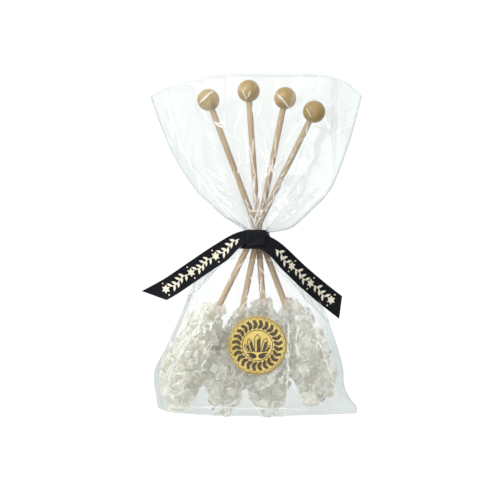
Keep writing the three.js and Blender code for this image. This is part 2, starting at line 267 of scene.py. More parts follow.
@dataclass(frozen=True)
class Coating:
    """What every finish has: a name, and a shader of its own."""

    name: str

    def shader(self, tree: NodeTree) -> NodeSocket:
        """Adds the finish's nodes and gives its shader."""
        raise NotImplementedError

    def material(self) -> Material:
        """Makes the material the first time that it is asked for.

        Returns:
            The material.
        """
        material = bpy.data.materials.get(self.name)
        if material is None:
            material = bpy.data.materials.new(self.name)
            material.use_nodes = True
            tree = material.node_tree
            tree.nodes.clear()
            add_node(tree, "OutputMaterial", {"Surface": self.shader(tree)})
        return material

    @staticmethod
    def opaque(tree: NodeTree, colour: NodeSocket, roughness: float, height: NodeSocket, depth: float,
               more: dict | None = None) -> NodeSocket:
        """Adds an opaque surface in fine relief.

        Args:
            tree: The node tree.
            colour: Its colour.
            roughness: Its roughness.
            height: The relief, from 0 to 1.
            depth: The relief's depth in millimetres.
            more: Other inputs of the surface.

        Returns:
            The surface's shader.
        """
        normal = add_node(tree, "Bump", {"Height": height, "Strength": 1.0, "Distance": depth * MM})
        inputs = {"Base Color": colour, "Roughness": roughness, "Normal": normal, **(more or {})}
        return add_node(tree, "BsdfPrincipled", inputs)


@dataclass(frozen=True)
class ClearFilm(Coating):
    """Clear polypropylene film: cast, calendered and creased, so it is seen by its glints and its grazing edges."""

    name: str = "polypropylene film, clear"
    tints: tuple = (
        (0.0, (0.994, 0.997, 0.997, 1)), (0.04, (0.989, 0.993, 0.993, 1)), (0.15, (0.981, 0.987, 0.988, 1)),
        (0.4, (0.960, 0.971, 0.973, 1)), (0.7, (0.91, 0.935, 0.94, 1)), (1.0, (0.72, 0.77, 0.77, 1)),
    )  # by how far the film is turned from the view
    # the tint where film is folded double, also used for painted shade along soft folds
    doubled: tuple = (0.855, 0.875, 0.86, 1)
    inside: tuple = (0.998, 0.999, 0.998, 1)  # for light that is scattered to and fro inside the bag
    # the white that sharp creases are mixed with: partly stress whitening, partly painted glint
    stress_white_and_glint: str = "#eceff0"
    roughness: float = 0.07
    least_gloss: float = 0.03
    grazing_power: float = 5.0
    # how much of that painted glint white a fully creased point gets
    painted_glint_whitening: float = 0.8

    def shader(self, tree: NodeTree) -> NodeSocket:
        """Adds film that is darker edge-on, where it is folded double and, as painted shade, along soft folds; and
        white where it is sharply creased, partly as stress whitening and partly as painted glints.

        Args:
            tree: The node tree.

        Returns:
            The film's shader.
        """
        facing = add_node(tree, "LayerWeight", {"Blend": 0.5}, "Facing")
        tint = add_node(tree, "ValToRGB", {"Fac": facing}, stops=self.tints)
        layers = add_node(tree, "Attribute", out="Fac", attribute_name="doubled")
        deeper = add_node(tree, "ValToRGB", {"Fac": layers}, stops=((0.0, (1, 1, 1, 1)), (1.0, self.doubled)))
        both = add_node(tree, "VectorMath", {0: tint, 1: deeper}, operation="MULTIPLY")
        seen = add_node(tree, "LightPath", out="Is Camera Ray")
        shown = add_node(tree, "Mix", {0: seen, 6: self.inside, 7: both}, 2, data_type="RGBA")
        clear = add_node(tree, "BsdfTransparent", {"Color": shown})
        gloss = add_node(tree, "BsdfGlossy", {"Roughness": self.roughness})
        steep = add_node(tree, "Math", {0: facing, 1: self.grazing_power}, operation="POWER")
        gloss_inputs = {0: steep, 1: 1 - self.least_gloss, 2: self.least_gloss}
        share = add_node(tree, "Math", gloss_inputs, operation="MULTIPLY_ADD")
        glossy = add_node(tree, "MixShader", {0: share, 1: clear, 2: gloss})
        # the crease attribute carries the painted glint white along creases
        crease = add_node(tree, "Attribute", out="Fac", attribute_name="crease")
        painted_glint_share = add_node(tree, "Math", {0: crease, 1: self.painted_glint_whitening}, operation="MULTIPLY")
        white = add_node(tree, "BsdfDiffuse", {"Color": linear(self.stress_white_and_glint)})
        return add_node(tree, "MixShader", {0: painted_glint_share, 1: glossy, 2: white})


@dataclass(frozen=True)
class RockSugar(Coating):
    """Sucrose crystals grown on a stick: clear blocks, more or less milky inside, with faint growth steps."""

    name: str = "rock sugar crystals"
    clear: tuple = (0.998, 0.998, 0.988)
    milky: tuple = (0.993, 0.988, 0.92)
    least_milk: float = 0.22
    most_milk: float = 0.46
    shine_through: float = 0.8  # the share of the milk's light that comes out on its far side
    roughness: float = 0.08
    ior: float = 1.38
    step: float = 0.5  # millimetres between growth steps
    step_depth: float = 0.03
    # partly frost on worn edges, partly painted highlight: sharp convex edges get more milk so they show as bright
    # lines
    edge_milk_and_highlight: float = 0.5  # how much milkier worn edges are
    edge_highlight_from: float = 0.56  # how sharply the surface bends where the frosting starts
    edge_highlight_to: float = 0.68
    # painted shade: the colours are darkened where the surface is hollow, between crystals
    shade: float = 0.86  # what reaches the eye from the hollow between two crystals
    painted_shade_stops: tuple = (0.32, 0.46)

    def shader(self, tree: NodeTree) -> NodeSocket:
        """Adds sugar glass mixed with milky sugar, by a share that differs from crystal to crystal, with painted shade
        in the hollows and milkier sharp edges as painted highlight.

        Args:
            tree: The node tree.

        Returns:
            The sugar's shader.
        """
        milk = add_node(tree, "Attribute", out="Fac", attribute_name="milk")
        share = add_node(tree, "MapRange", {"Value": milk, "To Min": self.least_milk, "To Max": self.most_milk})
        bend = add_node(tree, "NewGeometry", out="Pointiness")
        # painted highlight, partly frost: sharp convex edges are made milkier
        edge_highlight = {"Value": bend, "From Min": self.edge_highlight_from, "From Max": self.edge_highlight_to, "To Max": self.edge_milk_and_highlight}
        share = add_node(tree, "Math", {0: share, 1: add_node(tree, "MapRange", edge_highlight)}, operation="ADD")
        shaded_hollow, level = self.painted_shade_stops
        # painted shade: both colours darken towards the hollows between crystals
        clear, milky = (
            add_node(tree, "ValToRGB", {"Fac": bend}, stops=(
                (shaded_hollow, (*(part * self.shade for part in colour), 1)), (level, (*colour, 1)),
            ))
            for colour in (self.clear, self.milky)
        )
        place = add_node(tree, "TexCoord", out="Object")
        steps = grain_of_size(tree, place, (self.step * MM, self.step * MM, self.step * MM / 2), detail=3)
        normal = add_node(tree, "Bump", {"Height": steps, "Strength": 1.0, "Distance": self.step_depth * MM})
        common = {"Roughness": self.roughness, "IOR": self.ior, "Normal": normal}
        glass = add_node(tree, "BsdfPrincipled", {"Base Color": clear, "Transmission Weight": 1.0, **common})
        skin = add_node(tree, "BsdfPrincipled", {"Base Color": milky, **common})
        through = add_node(tree, "BsdfTranslucent", {"Color": milky})
        body = add_node(tree, "MixShader", {0: self.shine_through, 1: skin, 2: through})
        return add_node(tree, "MixShader", {0: share, 1: glass, 2: body})


@dataclass(frozen=True)
class BirchDowel(Coating):
    """Bare birch dowel: turned and sanded, so fine pale and darker fibres run along it."""

    name: str = "birch dowel, bare"
    pale: str = "#a59073"
    dark: str = "#877156"
    fibre: tuple = (0.28, 0.28, 14.0)  # millimetres
    blotch: tuple = (2.2, 2.2, 22.0)
    roughness: float = 0.6
    depth: float = 0.05

    def shader(self, tree: NodeTree) -> NodeSocket:
        """Adds wood with its fibres along the z of the grain attribute.

        Args:
            tree: The node tree.

        Returns:
            The wood's shader.
        """
        grain = add_node(tree, "Attribute", out="Vector", attribute_name="grain")
        fibres = grain_of_size(tree, grain, self.fibre, detail=3, roughness=0.65)
        blotches = grain_of_size(tree, grain, self.blotch)
        both = add_node(tree, "Math", {0: fibres, 1: 0.6}, operation="MULTIPLY")
        both = add_node(tree, "Math", {0: blotches, 1: 0.4, 2: both}, operation="MULTIPLY_ADD")
        colour = add_node(tree, "ValToRGB", {"Fac": both}, stops=((0.36, self.dark), (0.62, self.pale)))
        return self.opaque(tree, colour, self.roughness, fibres, self.depth)


@dataclass(frozen=True)
class LacqueredBeech(Coating):
    """Turned beech bead, tinted and lacquered: a warm tan under a soft clear coat."""

    name: str = "beech bead, lacquered"
    pale: str = "#907534"
    dark: str = "#7a5f24"
    ring: float = 1.1  # millimetres between year rings
    fleck: tuple = (0.3, 1.6, 0.3)
    roughness: float = 0.42
    depth: float = 0.012

    def shader(self, tree: NodeTree) -> NodeSocket:
        """Adds lacquered wood with faint year rings round the y of the grain attribute.

        Args:
            tree: The node tree.

        Returns:
            The wood's shader.
        """
        grain = add_node(tree, "Attribute", out="Vector", attribute_name="grain")
        rings = grain_of_size(tree, grain, (self.ring, 9.0, self.ring * 1.6), detail=3, roughness=0.6)
        flecks = grain_of_size(tree, grain, self.fleck, detail=1)
        both = add_node(tree, "Math", {0: flecks, 1: 0.25, 2: rings}, operation="MULTIPLY_ADD")
        colour = add_node(tree, "ValToRGB", {"Fac": both}, stops=((0.42, self.dark), (0.82, self.pale)))
        lacquer = {"Coat Weight": 0.16, "Coat Roughness": 0.3}
        return self.opaque(tree, colour, self.roughness, flecks, self.depth, lacquer)


@dataclass(frozen=True)
class SatinRibbon(Coating):
    """Black polyester satin: long floats along the ribbon give it a soft streaky sheen between woven edges, partly from
    its sheen and partly painted as lighter streaks in its colour.
    """

    name: str = "polyester satin, black"
    thread: str = "#020407"
    painted_sheen_streak: str = "#090c14"
    sheen: str = "#aab4c8"
    pick: float = 0.5  # millimetres between picks; real ones are 0.12, too fine to show
    streak: tuple = (9.0, 0.35, 1.0)
    roughness: float = 0.42
    depth: float = 0.03

    def shader(self, tree: NodeTree) -> NodeSocket:
        """Adds satin whose streaks run along the x of the cloth attribute; the lighter streaks in its colour are
        painted sheen.

        Args:
            tree: The node tree.

        Returns:
            The satin's shader.
        """
        cloth = add_node(tree, "Attribute", out="Vector", attribute_name="cloth")
        streaks = grain_of_size(tree, cloth, self.streak)
        waves = {"Vector": cloth, "Scale": 0.314 / self.pick, "Distortion": 0.6}
        picks = add_node(tree, "TexWave", waves, "Fac", bands_direction="X")
        weave = add_node(tree, "Math", {0: picks, 1: 0.4, 2: streaks}, operation="MULTIPLY_ADD")
        # painted sheen: the colour is lighter along the streaks
        colour = add_node(tree, "ValToRGB", {"Fac": streaks}, stops=((0.3, self.thread), (0.75, self.painted_sheen_streak)))
        sheen = {
            "Sheen Weight": 0.025, "Sheen Roughness": 0.4, "Sheen Tint": linear(self.sheen), "Specular IOR Level": 0.1,
        }
        return self.opaque(tree, colour, self.roughness, weave, self.depth, sheen)


@dataclass(frozen=True)
class Ink(Coating):
    """Raised print, such as thermal ink on ribbon: matt and slightly uneven, as the ground shows through it."""

    full: str
    thin: str
    blotch: float = 0.5  # millimetres
    roughness: float = 0.55
    depth: float = 0.01

    def shader(self, tree: NodeTree) -> NodeSocket:
        """Adds ink that is thinner in small blotches.

        Args:
            tree: The node tree.

        Returns:
            The ink's shader.
        """
        place = add_node(tree, "TexCoord", out="Object")
        cover = grain_of_size(tree, place, (self.blotch * MM,) * 3)
        colour = add_node(tree, "ValToRGB", {"Fac": cover}, stops=((0.3, self.thin), (0.55, self.full)))
        return self.opaque(tree, colour, self.roughness, cover, self.depth)


@dataclass(frozen=True)
class FoilPaper(Coating):
    """Gold foil label paper: metallic ink under a satin varnish, with the paper's fibres faint beneath it."""

    name: str = "foil paper, gold"
    gold: str = "#b8a460"
    deep: str = "#ac954d"
    cloud: float = 9.0  # millimetres
    metal: float = 0.35
    roughness: float = 0.42
    depth: float = 0.008

    def shader(self, tree: NodeTree) -> NodeSocket:
        """Adds satin gold with a slow change of tone across the label.

        Args:
            tree: The node tree.

        Returns:
            The foil's shader.
        """
        place = add_node(tree, "TexCoord", out="Object")
        slow = grain_of_size(tree, place, (self.cloud * MM,) * 3)
        fibres = grain_of_size(tree, place, (0.25 * MM, 0.9 * MM, 0.5 * MM), detail=3)
        colour = add_node(tree, "ValToRGB", {"Fac": slow}, stops=((0.3, self.deep), (0.6, self.gold)))
        return self.opaque(tree, colour, self.roughness, fibres, self.depth, {"Metallic": self.metal})


@dataclass(frozen=True)
class StudioPaper(Coating):
    """White paper for the sweep, lit a little from below as on a light table."""

    name: str = "studio paper, white"
    grey: tuple = (0.12, 0.12, 0.12, 1)
    glow: float = 0.94

    def shader(self, tree: NodeTree) -> NodeSocket:
        """Adds dull paper that glows.

        Args:
            tree: The node tree.

        Returns:
            The paper's shader.
        """
        dull = add_node(tree, "BsdfDiffuse", {"Color": self.grey})
        lit = add_node(tree, "Emission", {"Color": (1, 1, 1, 1), "Strength": self.glow})
        return add_node(tree, "AddShader", {0: dull, 1: lit})


class Finish(Enum):
    """Every finish of the pack. Its name is what the pieces ask for, and its value makes it."""

    FILM = ClearFilm()
    SUGAR = RockSugar()
    DOWEL = BirchDowel()
    BEAD = LacqueredBeech()
    SATIN = SatinRibbon()
    RIBBON_INK = Ink("screen ink, cream", "#c6c0ad", "#b0ab97")
    FOIL = FoilPaper()
    LABEL_INK = Ink("offset ink, brown", "#2d220e", "#3e3013")
    STUDIO = StudioPaper()


# ---------------------------------------------------------------- making pieces


def sheet_mesh(points: np.ndarray, layers: dict[str, np.ndarray] | None = None) -> BMesh:
    """A sheet of quads through a table of points, joined to itself where its edges meet.

    Args:
        points: Places by row, column and axis.
        layers: A number or three for each point, by the name of the attribute that keeps them.

    Returns:
        The sheet.
    """
    rows, columns = points.shape[:2]
    made = bmesh.new()
    kinds = {2: made.verts.layers.float, 3: made.verts.layers.float_vector}
    kept = {name: kinds[table.ndim].new(name) for name, table in (layers or {}).items()}
    bmesh.ops.create_grid(made, x_segments=columns - 1, y_segments=rows - 1, size=1.0)
    for vertex in made.verts:
        column = round((vertex.co.x + 1) / 2 * (columns - 1))
        row = round((vertex.co.y + 1) / 2 * (rows - 1))
        vertex.co = points[row, column]
        for name, layer in kept.items():
            vertex[layer] = layers[name][row, column]
    bmesh.ops.remove_doubles(made, verts=made.verts, dist=SEAM)
    return made


def lathe(profile: Sequence[tuple[float, float]], steps: int) -> BMesh:
    """A body turned about z from a profile that starts and ends on the axis.

    Args:
        profile: Radius and height of each point.
        steps: How many steps a full turn has.

    Returns:
        The closed body.
    """
    made = bmesh.new()
    line = [made.verts.new((radius, 0, height)) for radius, height in profile]
    edges = [made.edges.new(pair) for pair in zip(line, line[1:])]
    bmesh.ops.spin(
        made, geom=line + edges, axis=(0, 0, 1), cent=(0, 0, 0), angle=math.tau, steps=steps, use_merge=True
    )
    bmesh.ops.remove_doubles(made, verts=made.verts, dist=SEAM)
    return made


def keep_frame(made: BMesh, name: str, turn: Matrix | None = None) -> None:
    """Keeps each vertex's present place as an attribute, for a pattern that follows the piece.

    Args:
        made: The mesh in millimetres.
        name: The attribute's name.
        turn: How the pattern is turned in the piece.
    """
    layer = made.verts.layers.float_vector.new(name)
    for vertex in made.verts:
        vertex[layer] = turn @ vertex.co if turn else vertex.co


def turned_to(direction: Vector, origin: Vector) -> Matrix:
    """The matrix that lays +Z along a direction and moves to an origin."""
    return Matrix.Translation(origin) @ direction.to_track_quat("Z", "Y").to_matrix().to_4x4()


def new_mesh(name: str, made: BMesh) -> Mesh:
    """Stores an edited mesh.

    Args:
        name: The stored mesh's name.
        made: The edited mesh, which this frees.

    Returns:
        The stored mesh.
    """
    mesh = bpy.data.meshes.new(name)
    made.to_mesh(mesh)
    made.free()
    return mesh


def add_piece(name: str, made: BMesh, finish: Finish, replaced: Sequence[str] = (),
              smooth: bool = True, wall: float = 0.0) -> Object:
    """Finishes a piece: scales it to metres, dresses it and lets it ride with the pack.

    Args:
        name: The piece's name.
        made: Its mesh in millimetres, which this frees.
        finish: Its finish.
        replaced: The CAD nodes that it stands for.
        smooth: Whether its faces are shaded smooth.
        wall: The thickness in millimetres that a sheet gets, outwards.

    Returns:
        The piece.
    """
    bmesh.ops.recalc_face_normals(made, faces=made.faces)
    bmesh.ops.scale(made, vec=(MM, MM, MM), verts=made.verts)
    for face in made.faces:
        face.smooth = smooth
    mesh = new_mesh(name, made)
    mesh.materials.append(finish.value.material())
    piece = bpy.data.objects.new(name, mesh)
    bpy.context.scene.collection.objects.link(piece)
    if wall:
        solidify = piece.modifiers.new("wall", "SOLIDIFY")
        solidify.thickness = wall * MM
        solidify.offset = 1.0
    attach(piece, ROOT)
    if replaced:
        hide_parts(*replaced)
    LOG.info("%s: %d faces, %s", name, len(mesh.polygons), mesh.materials[0].name)
    return piece


# ---------------------------------------------------------------- sticks and beads


@dataclass
class WoodenStick:
    """A birch dowel from the socket of its bead down into its candy, and the bead."""

    stick: Stick
    number: int
    chamfer: float = 0.3
    step: float = 2.5
    steps_round: int = 32
    unevenness: float = 0.05
    bead_arc: int = 28
    bead_steps: int = 56
    socket_play: float = 0.1
    lip_depth: float = 0.25

    def build(self) -> list[Object]:
        """Makes the dowel and the bead."""
        return [self.dowel(), self.bead()]

    def dowel(self) -> Object:
        """Turns the dowel, slightly uneven as sanded dowels are.

        Returns:
            The dowel.
        """
        socket_floor = Vector(self.stick.bead) + self.stick.direction * (BEAD_RADIUS - SOCKET_DEPTH)
        end = self.stick.at_y(self.stick.lumps[-2][1])
        length = (end - socket_floor).length
        rings = round(length / self.step)
        inner = DOWEL_RADIUS - self.chamfer
        body = [(DOWEL_RADIUS, mix(self.chamfer, length - self.chamfer, i / rings)) for i in range(rings + 1)]
        made = lathe([(0, 0), (inner, 0), *body, (inner, length), (0, length)], self.steps_round)
        keep_frame(made, "grain")
        for vertex in made.verts:
            wobble = self.unevenness * noise.noise(vertex.co * 0.35 + Vector((0, 0, 50 * self.number)))
            radial = Vector((vertex.co.x, vertex.co.y, 0))
            vertex.co += radial * (wobble / DOWEL_RADIUS)
        bmesh.ops.transform(made, matrix=turned_to(self.stick.direction, socket_floor), verts=made.verts)
        name = f"stick_{self.number}"
        return add_piece(name, made, Finish.DOWEL, [f"dowel_{self.number}"])

    def bead(self) -> Object:
        """Turns the bead with its blind socket.

        Returns:
            The bead.
        """
        socket = DOWEL_RADIUS + self.socket_play
        rim = math.asin(socket / BEAD_RADIUS)
        angles = [mix(math.pi, rim, i / self.bead_arc) for i in range(self.bead_arc + 1)]
        ball = [(BEAD_RADIUS * math.sin(angle), BEAD_RADIUS * math.cos(angle)) for angle in angles]
        floor = BEAD_RADIUS - SOCKET_DEPTH
        lip = (socket, BEAD_RADIUS * math.cos(rim) - self.lip_depth)
        made = lathe([*ball, lip, (socket, floor), (0, floor)], self.bead_steps)
        turn = Matrix.Rotation(1.3 * self.number, 4, "Z") @ Matrix.Rotation(0.5 * self.number, 4, "X")
        keep_frame(made, "grain", turn)
        place = turned_to(self.stick.direction, Vector(self.stick.bead))
        bmesh.ops.transform(made, matrix=place, verts=made.verts)
        return add_piece(f"ball_{self.number}", made, Finish.BEAD, [f"bead_{self.number}"])


# ---------------------------------------------------------------- candies


@dataclass
class CrystalKit:
    """A few cut crystals that every candy is grown from."""

    count: int = 12
    seed: int = 7
    corner_cuts: int = 5
    edge_bevel: float = 0.045
    shapes: list[Mesh] = field(default_factory=list)

    def build(self) -> None:
        """Cuts the crystals: slanted blocks with corners cut off and edges just broken."""
        random_source = random.Random(self.seed)
        for number in range(self.count):
            made = bmesh.new()
            bmesh.ops.create_cube(made, size=1.0)
            made.faces.layers.float.new("milk")
            sizes = (mix(0.62, 0.85, random_source.random()), mix(0.5, 0.75, random_source.random()), 1.0)
            bmesh.ops.scale(made, vec=sizes, verts=made.verts)
            slant = Matrix.Identity(3)
            slant[0][2] = mix(-0.35, 0.35, random_source.random())
            slant[1][2] = mix(-0.2, 0.2, random_source.random())
            bmesh.ops.transform(made, matrix=slant.to_4x4(), verts=made.verts)
            for _ in range(self.corner_cuts):
                self.cut_corner(made, random_source)
            bmesh.ops.bevel(
                made, geom=made.edges, offset=self.edge_bevel, offset_type="OFFSET", segments=1, profile=0.5,
                affect="EDGES", clamp_overlap=True, material=-1,
            )
            bmesh.ops.triangulate(made, faces=[face for face in made.faces if len(face.verts) > 4])
            self.shapes.append(new_mesh(f"crystal_shape_{number}", made))

    @staticmethod
    def cut_corner(made: BMesh, random_source: random.Random) -> None:
        """Cuts one upper corner or edge off with a flat face.

        Args:
            made: The crystal.
            random_source: Where the cut's slope comes from.
        """
        turn = random_source.random() * math.tau
        rise = mix(0.45, 1.5, random_source.random())
        normal = Vector((math.cos(turn), math.sin(turn), rise)).normalized()
        reach = max(vertex.co.dot(normal) for vertex in made.verts)
        left = mix(0.6, 0.85, random_source.random())
        cut = bmesh.ops.bisect_plane(
            made, geom=[*made.verts, *made.edges, *made.faces], plane_co=normal * reach * left, plane_no=normal,
            clear_outer=True,
        )
        rim = [item for item in cut["geom_cut"] if isinstance(item, BMEdge)]
        bmesh.ops.holes_fill(made, edges=rim, sides=0)

    def clear(self) -> None:
        for mesh in self.shapes:
            bpy.data.meshes.remove(mesh)
        self.shapes.clear()


@dataclass
class RockCandy:
    """One candy: a knobbly core down its stick, covered in crystals that have grown together."""

    stick: Stick
    number: int
    kit: CrystalKit
    spacing: float = 2.8
    closest: float = 0.62  # of the spacing
    past_ends: float = 7.0
    least: float = 3.2
    greatest: float = 6.6
    lean: float = 0.9
    sink: float = 0.3  # how much of a crystal's length lies below the core's surface
    core_inset: float = 0.2
    knobs: float = 1.3  # how far the core swells and shrinks
    knob_size: float = 5.4

    def build(self) -> Object:
        """Grows the candy.

        Returns:
            The candy as one piece.
        """
        random_source = random.Random(100 + self.number)
        core = self.core()
        surface = BVHTree.FromBMesh(core)
        sites = self.sites(surface, random_source)
        crystals = [self.crystal(foot, outwards, random_source) for foot, outwards in sites]
        made = self.fused(core, crystals)
        self.press(made)
        return add_piece(f"candy_{self.number}", made, Finish.SUGAR, ["bag_pouch"], smooth=False)

    def axis_row(self, t: float) -> tuple[Vector, float]:
        """The middle and radius of the candy a part t of the way down it."""
        x, y, z, radius = self.stick.axis.at(t)
        return Vector((x, y, z)), float(radius)

    def swelling(self, place: Vector) -> float:
        """How far the core stands out or in at a place, in millimetres."""
        shifted = place / self.knob_size + Vector((0, 0, 9 * self.number))
        return self.knobs * 2 * noise.noise(shifted)

    def core(self) -> BMesh:
        """A ball drawn out along the candy's lumps.

        Returns:
            The core, whose faces have the milk attribute.
        """
        made = bmesh.new()
        bmesh.ops.create_uvsphere(made, u_segments=40, v_segments=48, radius=1.0)
        for vertex in made.verts:
            height = max(-1.0, min(1.0, vertex.co.z))
            t = (1 - height) / 2
            centre, radius = self.axis_row(t)
            ahead = (self.axis_row(min(1, t + 0.02))[0] - self.axis_row(max(0, t - 0.02))[0]).normalized()
            side = ahead.cross(Vector((0, 0, 1))).normalized()
            up = side.cross(ahead)
            level = math.hypot(vertex.co.x, vertex.co.y)
            around = (vertex.co.x * side + vertex.co.y * up) / max(level, 1e-6)
            fullness = level**0.45
            past_end = ahead * (radius * 0.75 * -signed_power(height, 9))
            surface = centre + around * (radius - self.core_inset) * fullness + past_end
            vertex.co = surface + around * self.swelling(surface)
        milk = made.faces.layers.float.new("milk")
        for face in made.faces:
            face[milk] = 1.0
        bmesh.ops.recalc_face_normals(made, faces=made.faces)
        return made

    def sites(self, surface: BVHTree, random_source: random.Random) -> list[tuple[Vector, Vector]]:
        """Where crystals stand: spread evenly over the core by casting rays back at it.

        Args:
            surface: The core's surface.
            random_source: Where the unevenness comes from.

        Returns:
            The foot and outward direction of each crystal.
        """
        first, last = self.axis_row(0)[0], self.axis_row(1)[0]
        rings = round(((last - first).length + self.past_ends) / self.spacing)
        found: list[tuple[Vector, Vector]] = []
        for ring in range(-2, rings + 3):
            t = ring / rings
            centre, radius = self.axis_row(min(1, max(0, t)))
            lean = min(0, t) + max(0, t - 1)
            count = max(5, round(math.tau * radius / self.spacing))
            for place in range(count):
                turn = (place + random_source.random() * 0.6 + (ring % 2) / 2) / count * math.tau
                outwards = Vector((math.cos(turn), -12 * lean + random_source.uniform(-0.3, 0.3), math.sin(turn)))
                outwards.normalize()
                hit, normal, _, _ = surface.ray_cast(centre + outwards * 30, -outwards)
                if hit is None:
                    continue
                near = any((hit - other).length < self.spacing * self.closest for other, _ in found[-60:])
                if not near:
                    found.append((hit, normal))
        return found

    def crystal(self, foot: Vector, outwards: Vector, random_source: random.Random) -> Mesh:
        """Grows one crystal.

        Args:
            foot: Where it stands.
            outwards: The core's normal there.
            random_source: Where its shape, size and lean come from.

        Returns:
            The crystal's mesh in its place.
        """
        shape = random_source.choice(self.kit.shapes).copy()
        size = mix(self.least, self.greatest, random_source.random() ** 1.7)
        axis = Vector([random_source.uniform(-1, 1) for _ in range(3)]).normalized()
        lean = Matrix.Rotation(self.lean * random_source.random(), 4, axis)
        spin = Matrix.Rotation(random_source.random() * math.tau, 4, "Z")
        middle = foot + outwards * size * (0.5 - self.sink) * 0.6
        placed = Matrix.Translation(middle) @ lean @ turned_to(outwards, Vector())
        shape.transform(placed @ spin @ Matrix.Scale(size, 4))
        milk = np.full(len(shape.polygons), mix(*self.stick.milk, random_source.random()), np.float32)
        shape.attributes["milk"].data.foreach_set("value", milk)
        return shape

    @staticmethod
    def fused(core: BMesh, crystals: Sequence[Mesh]) -> BMesh:
        """Joins the core and the crystals into one closed skin, so that light can wander through the whole candy.

        Args:
            core: The core, which this frees.
            crystals: The crystals, which this removes.

        Returns:
            The candy.
        """
        scene = bpy.context.scene
        body = bpy.data.objects.new("core", new_mesh("core", core))
        scene.collection.objects.link(body)
        cluster = bpy.data.collections.new("crystals")
        scene.collection.children.link(cluster)
        for mesh in crystals:
            cluster.objects.link(bpy.data.objects.new("crystal", mesh))
        union = body.modifiers.new("union", "BOOLEAN")
        union.operation = "UNION"
        union.operand_type = "COLLECTION"
        union.collection = cluster
        union.solver = "MANIFOLD"
        made = bmesh.new()
        made.from_object(body, bpy.context.evaluated_depsgraph_get())
        bpy.data.meshes.remove(body.data)
        for mesh in crystals:
            bpy.data.meshes.remove(mesh)
        bpy.data.collections.remove(cluster)
        bmesh.ops.triangulate(made, faces=made.faces)
        return made

    def press(self, made: BMesh) -> None:
        """Keeps the candy above the back film and below the label.

        Args:
            made: The candy.
        """
        label = Vector(LABEL_CENTRE)
        for vertex in made.verts:
            vertex.co.z = max(vertex.co.z, 3 * TABLE_GAP)
            past = max(0.0, (vertex.co.xy - label).length - LABEL_RADIUS - 2)
            vertex.co.z = min(vertex.co.z, LABEL_Z - 0.8 + 0.8 * past)


# ---------------------------------------------------------------- film


@dataclass(frozen=True)
class Crease:
    """A straight pinched fold in film, seen from above.

    It has its ends, half its width, its height, half the width of its sharp edge and how white that edge is; that white
    is partly stress whitening and partly a painted glint.
    """

    start: tuple[float, float]
    end: tuple[float, float]
    half_width: float
    height: float
    sharpness: float = 0.14
    stress_white_and_painted_glint: float = 1.0


@dataclass(frozen=True)
class SoftFold:
    """A rounded fold in film, seen from above: points of the line it follows, half its width and its height."""

    line: tuple
    half_width: float
    height: float


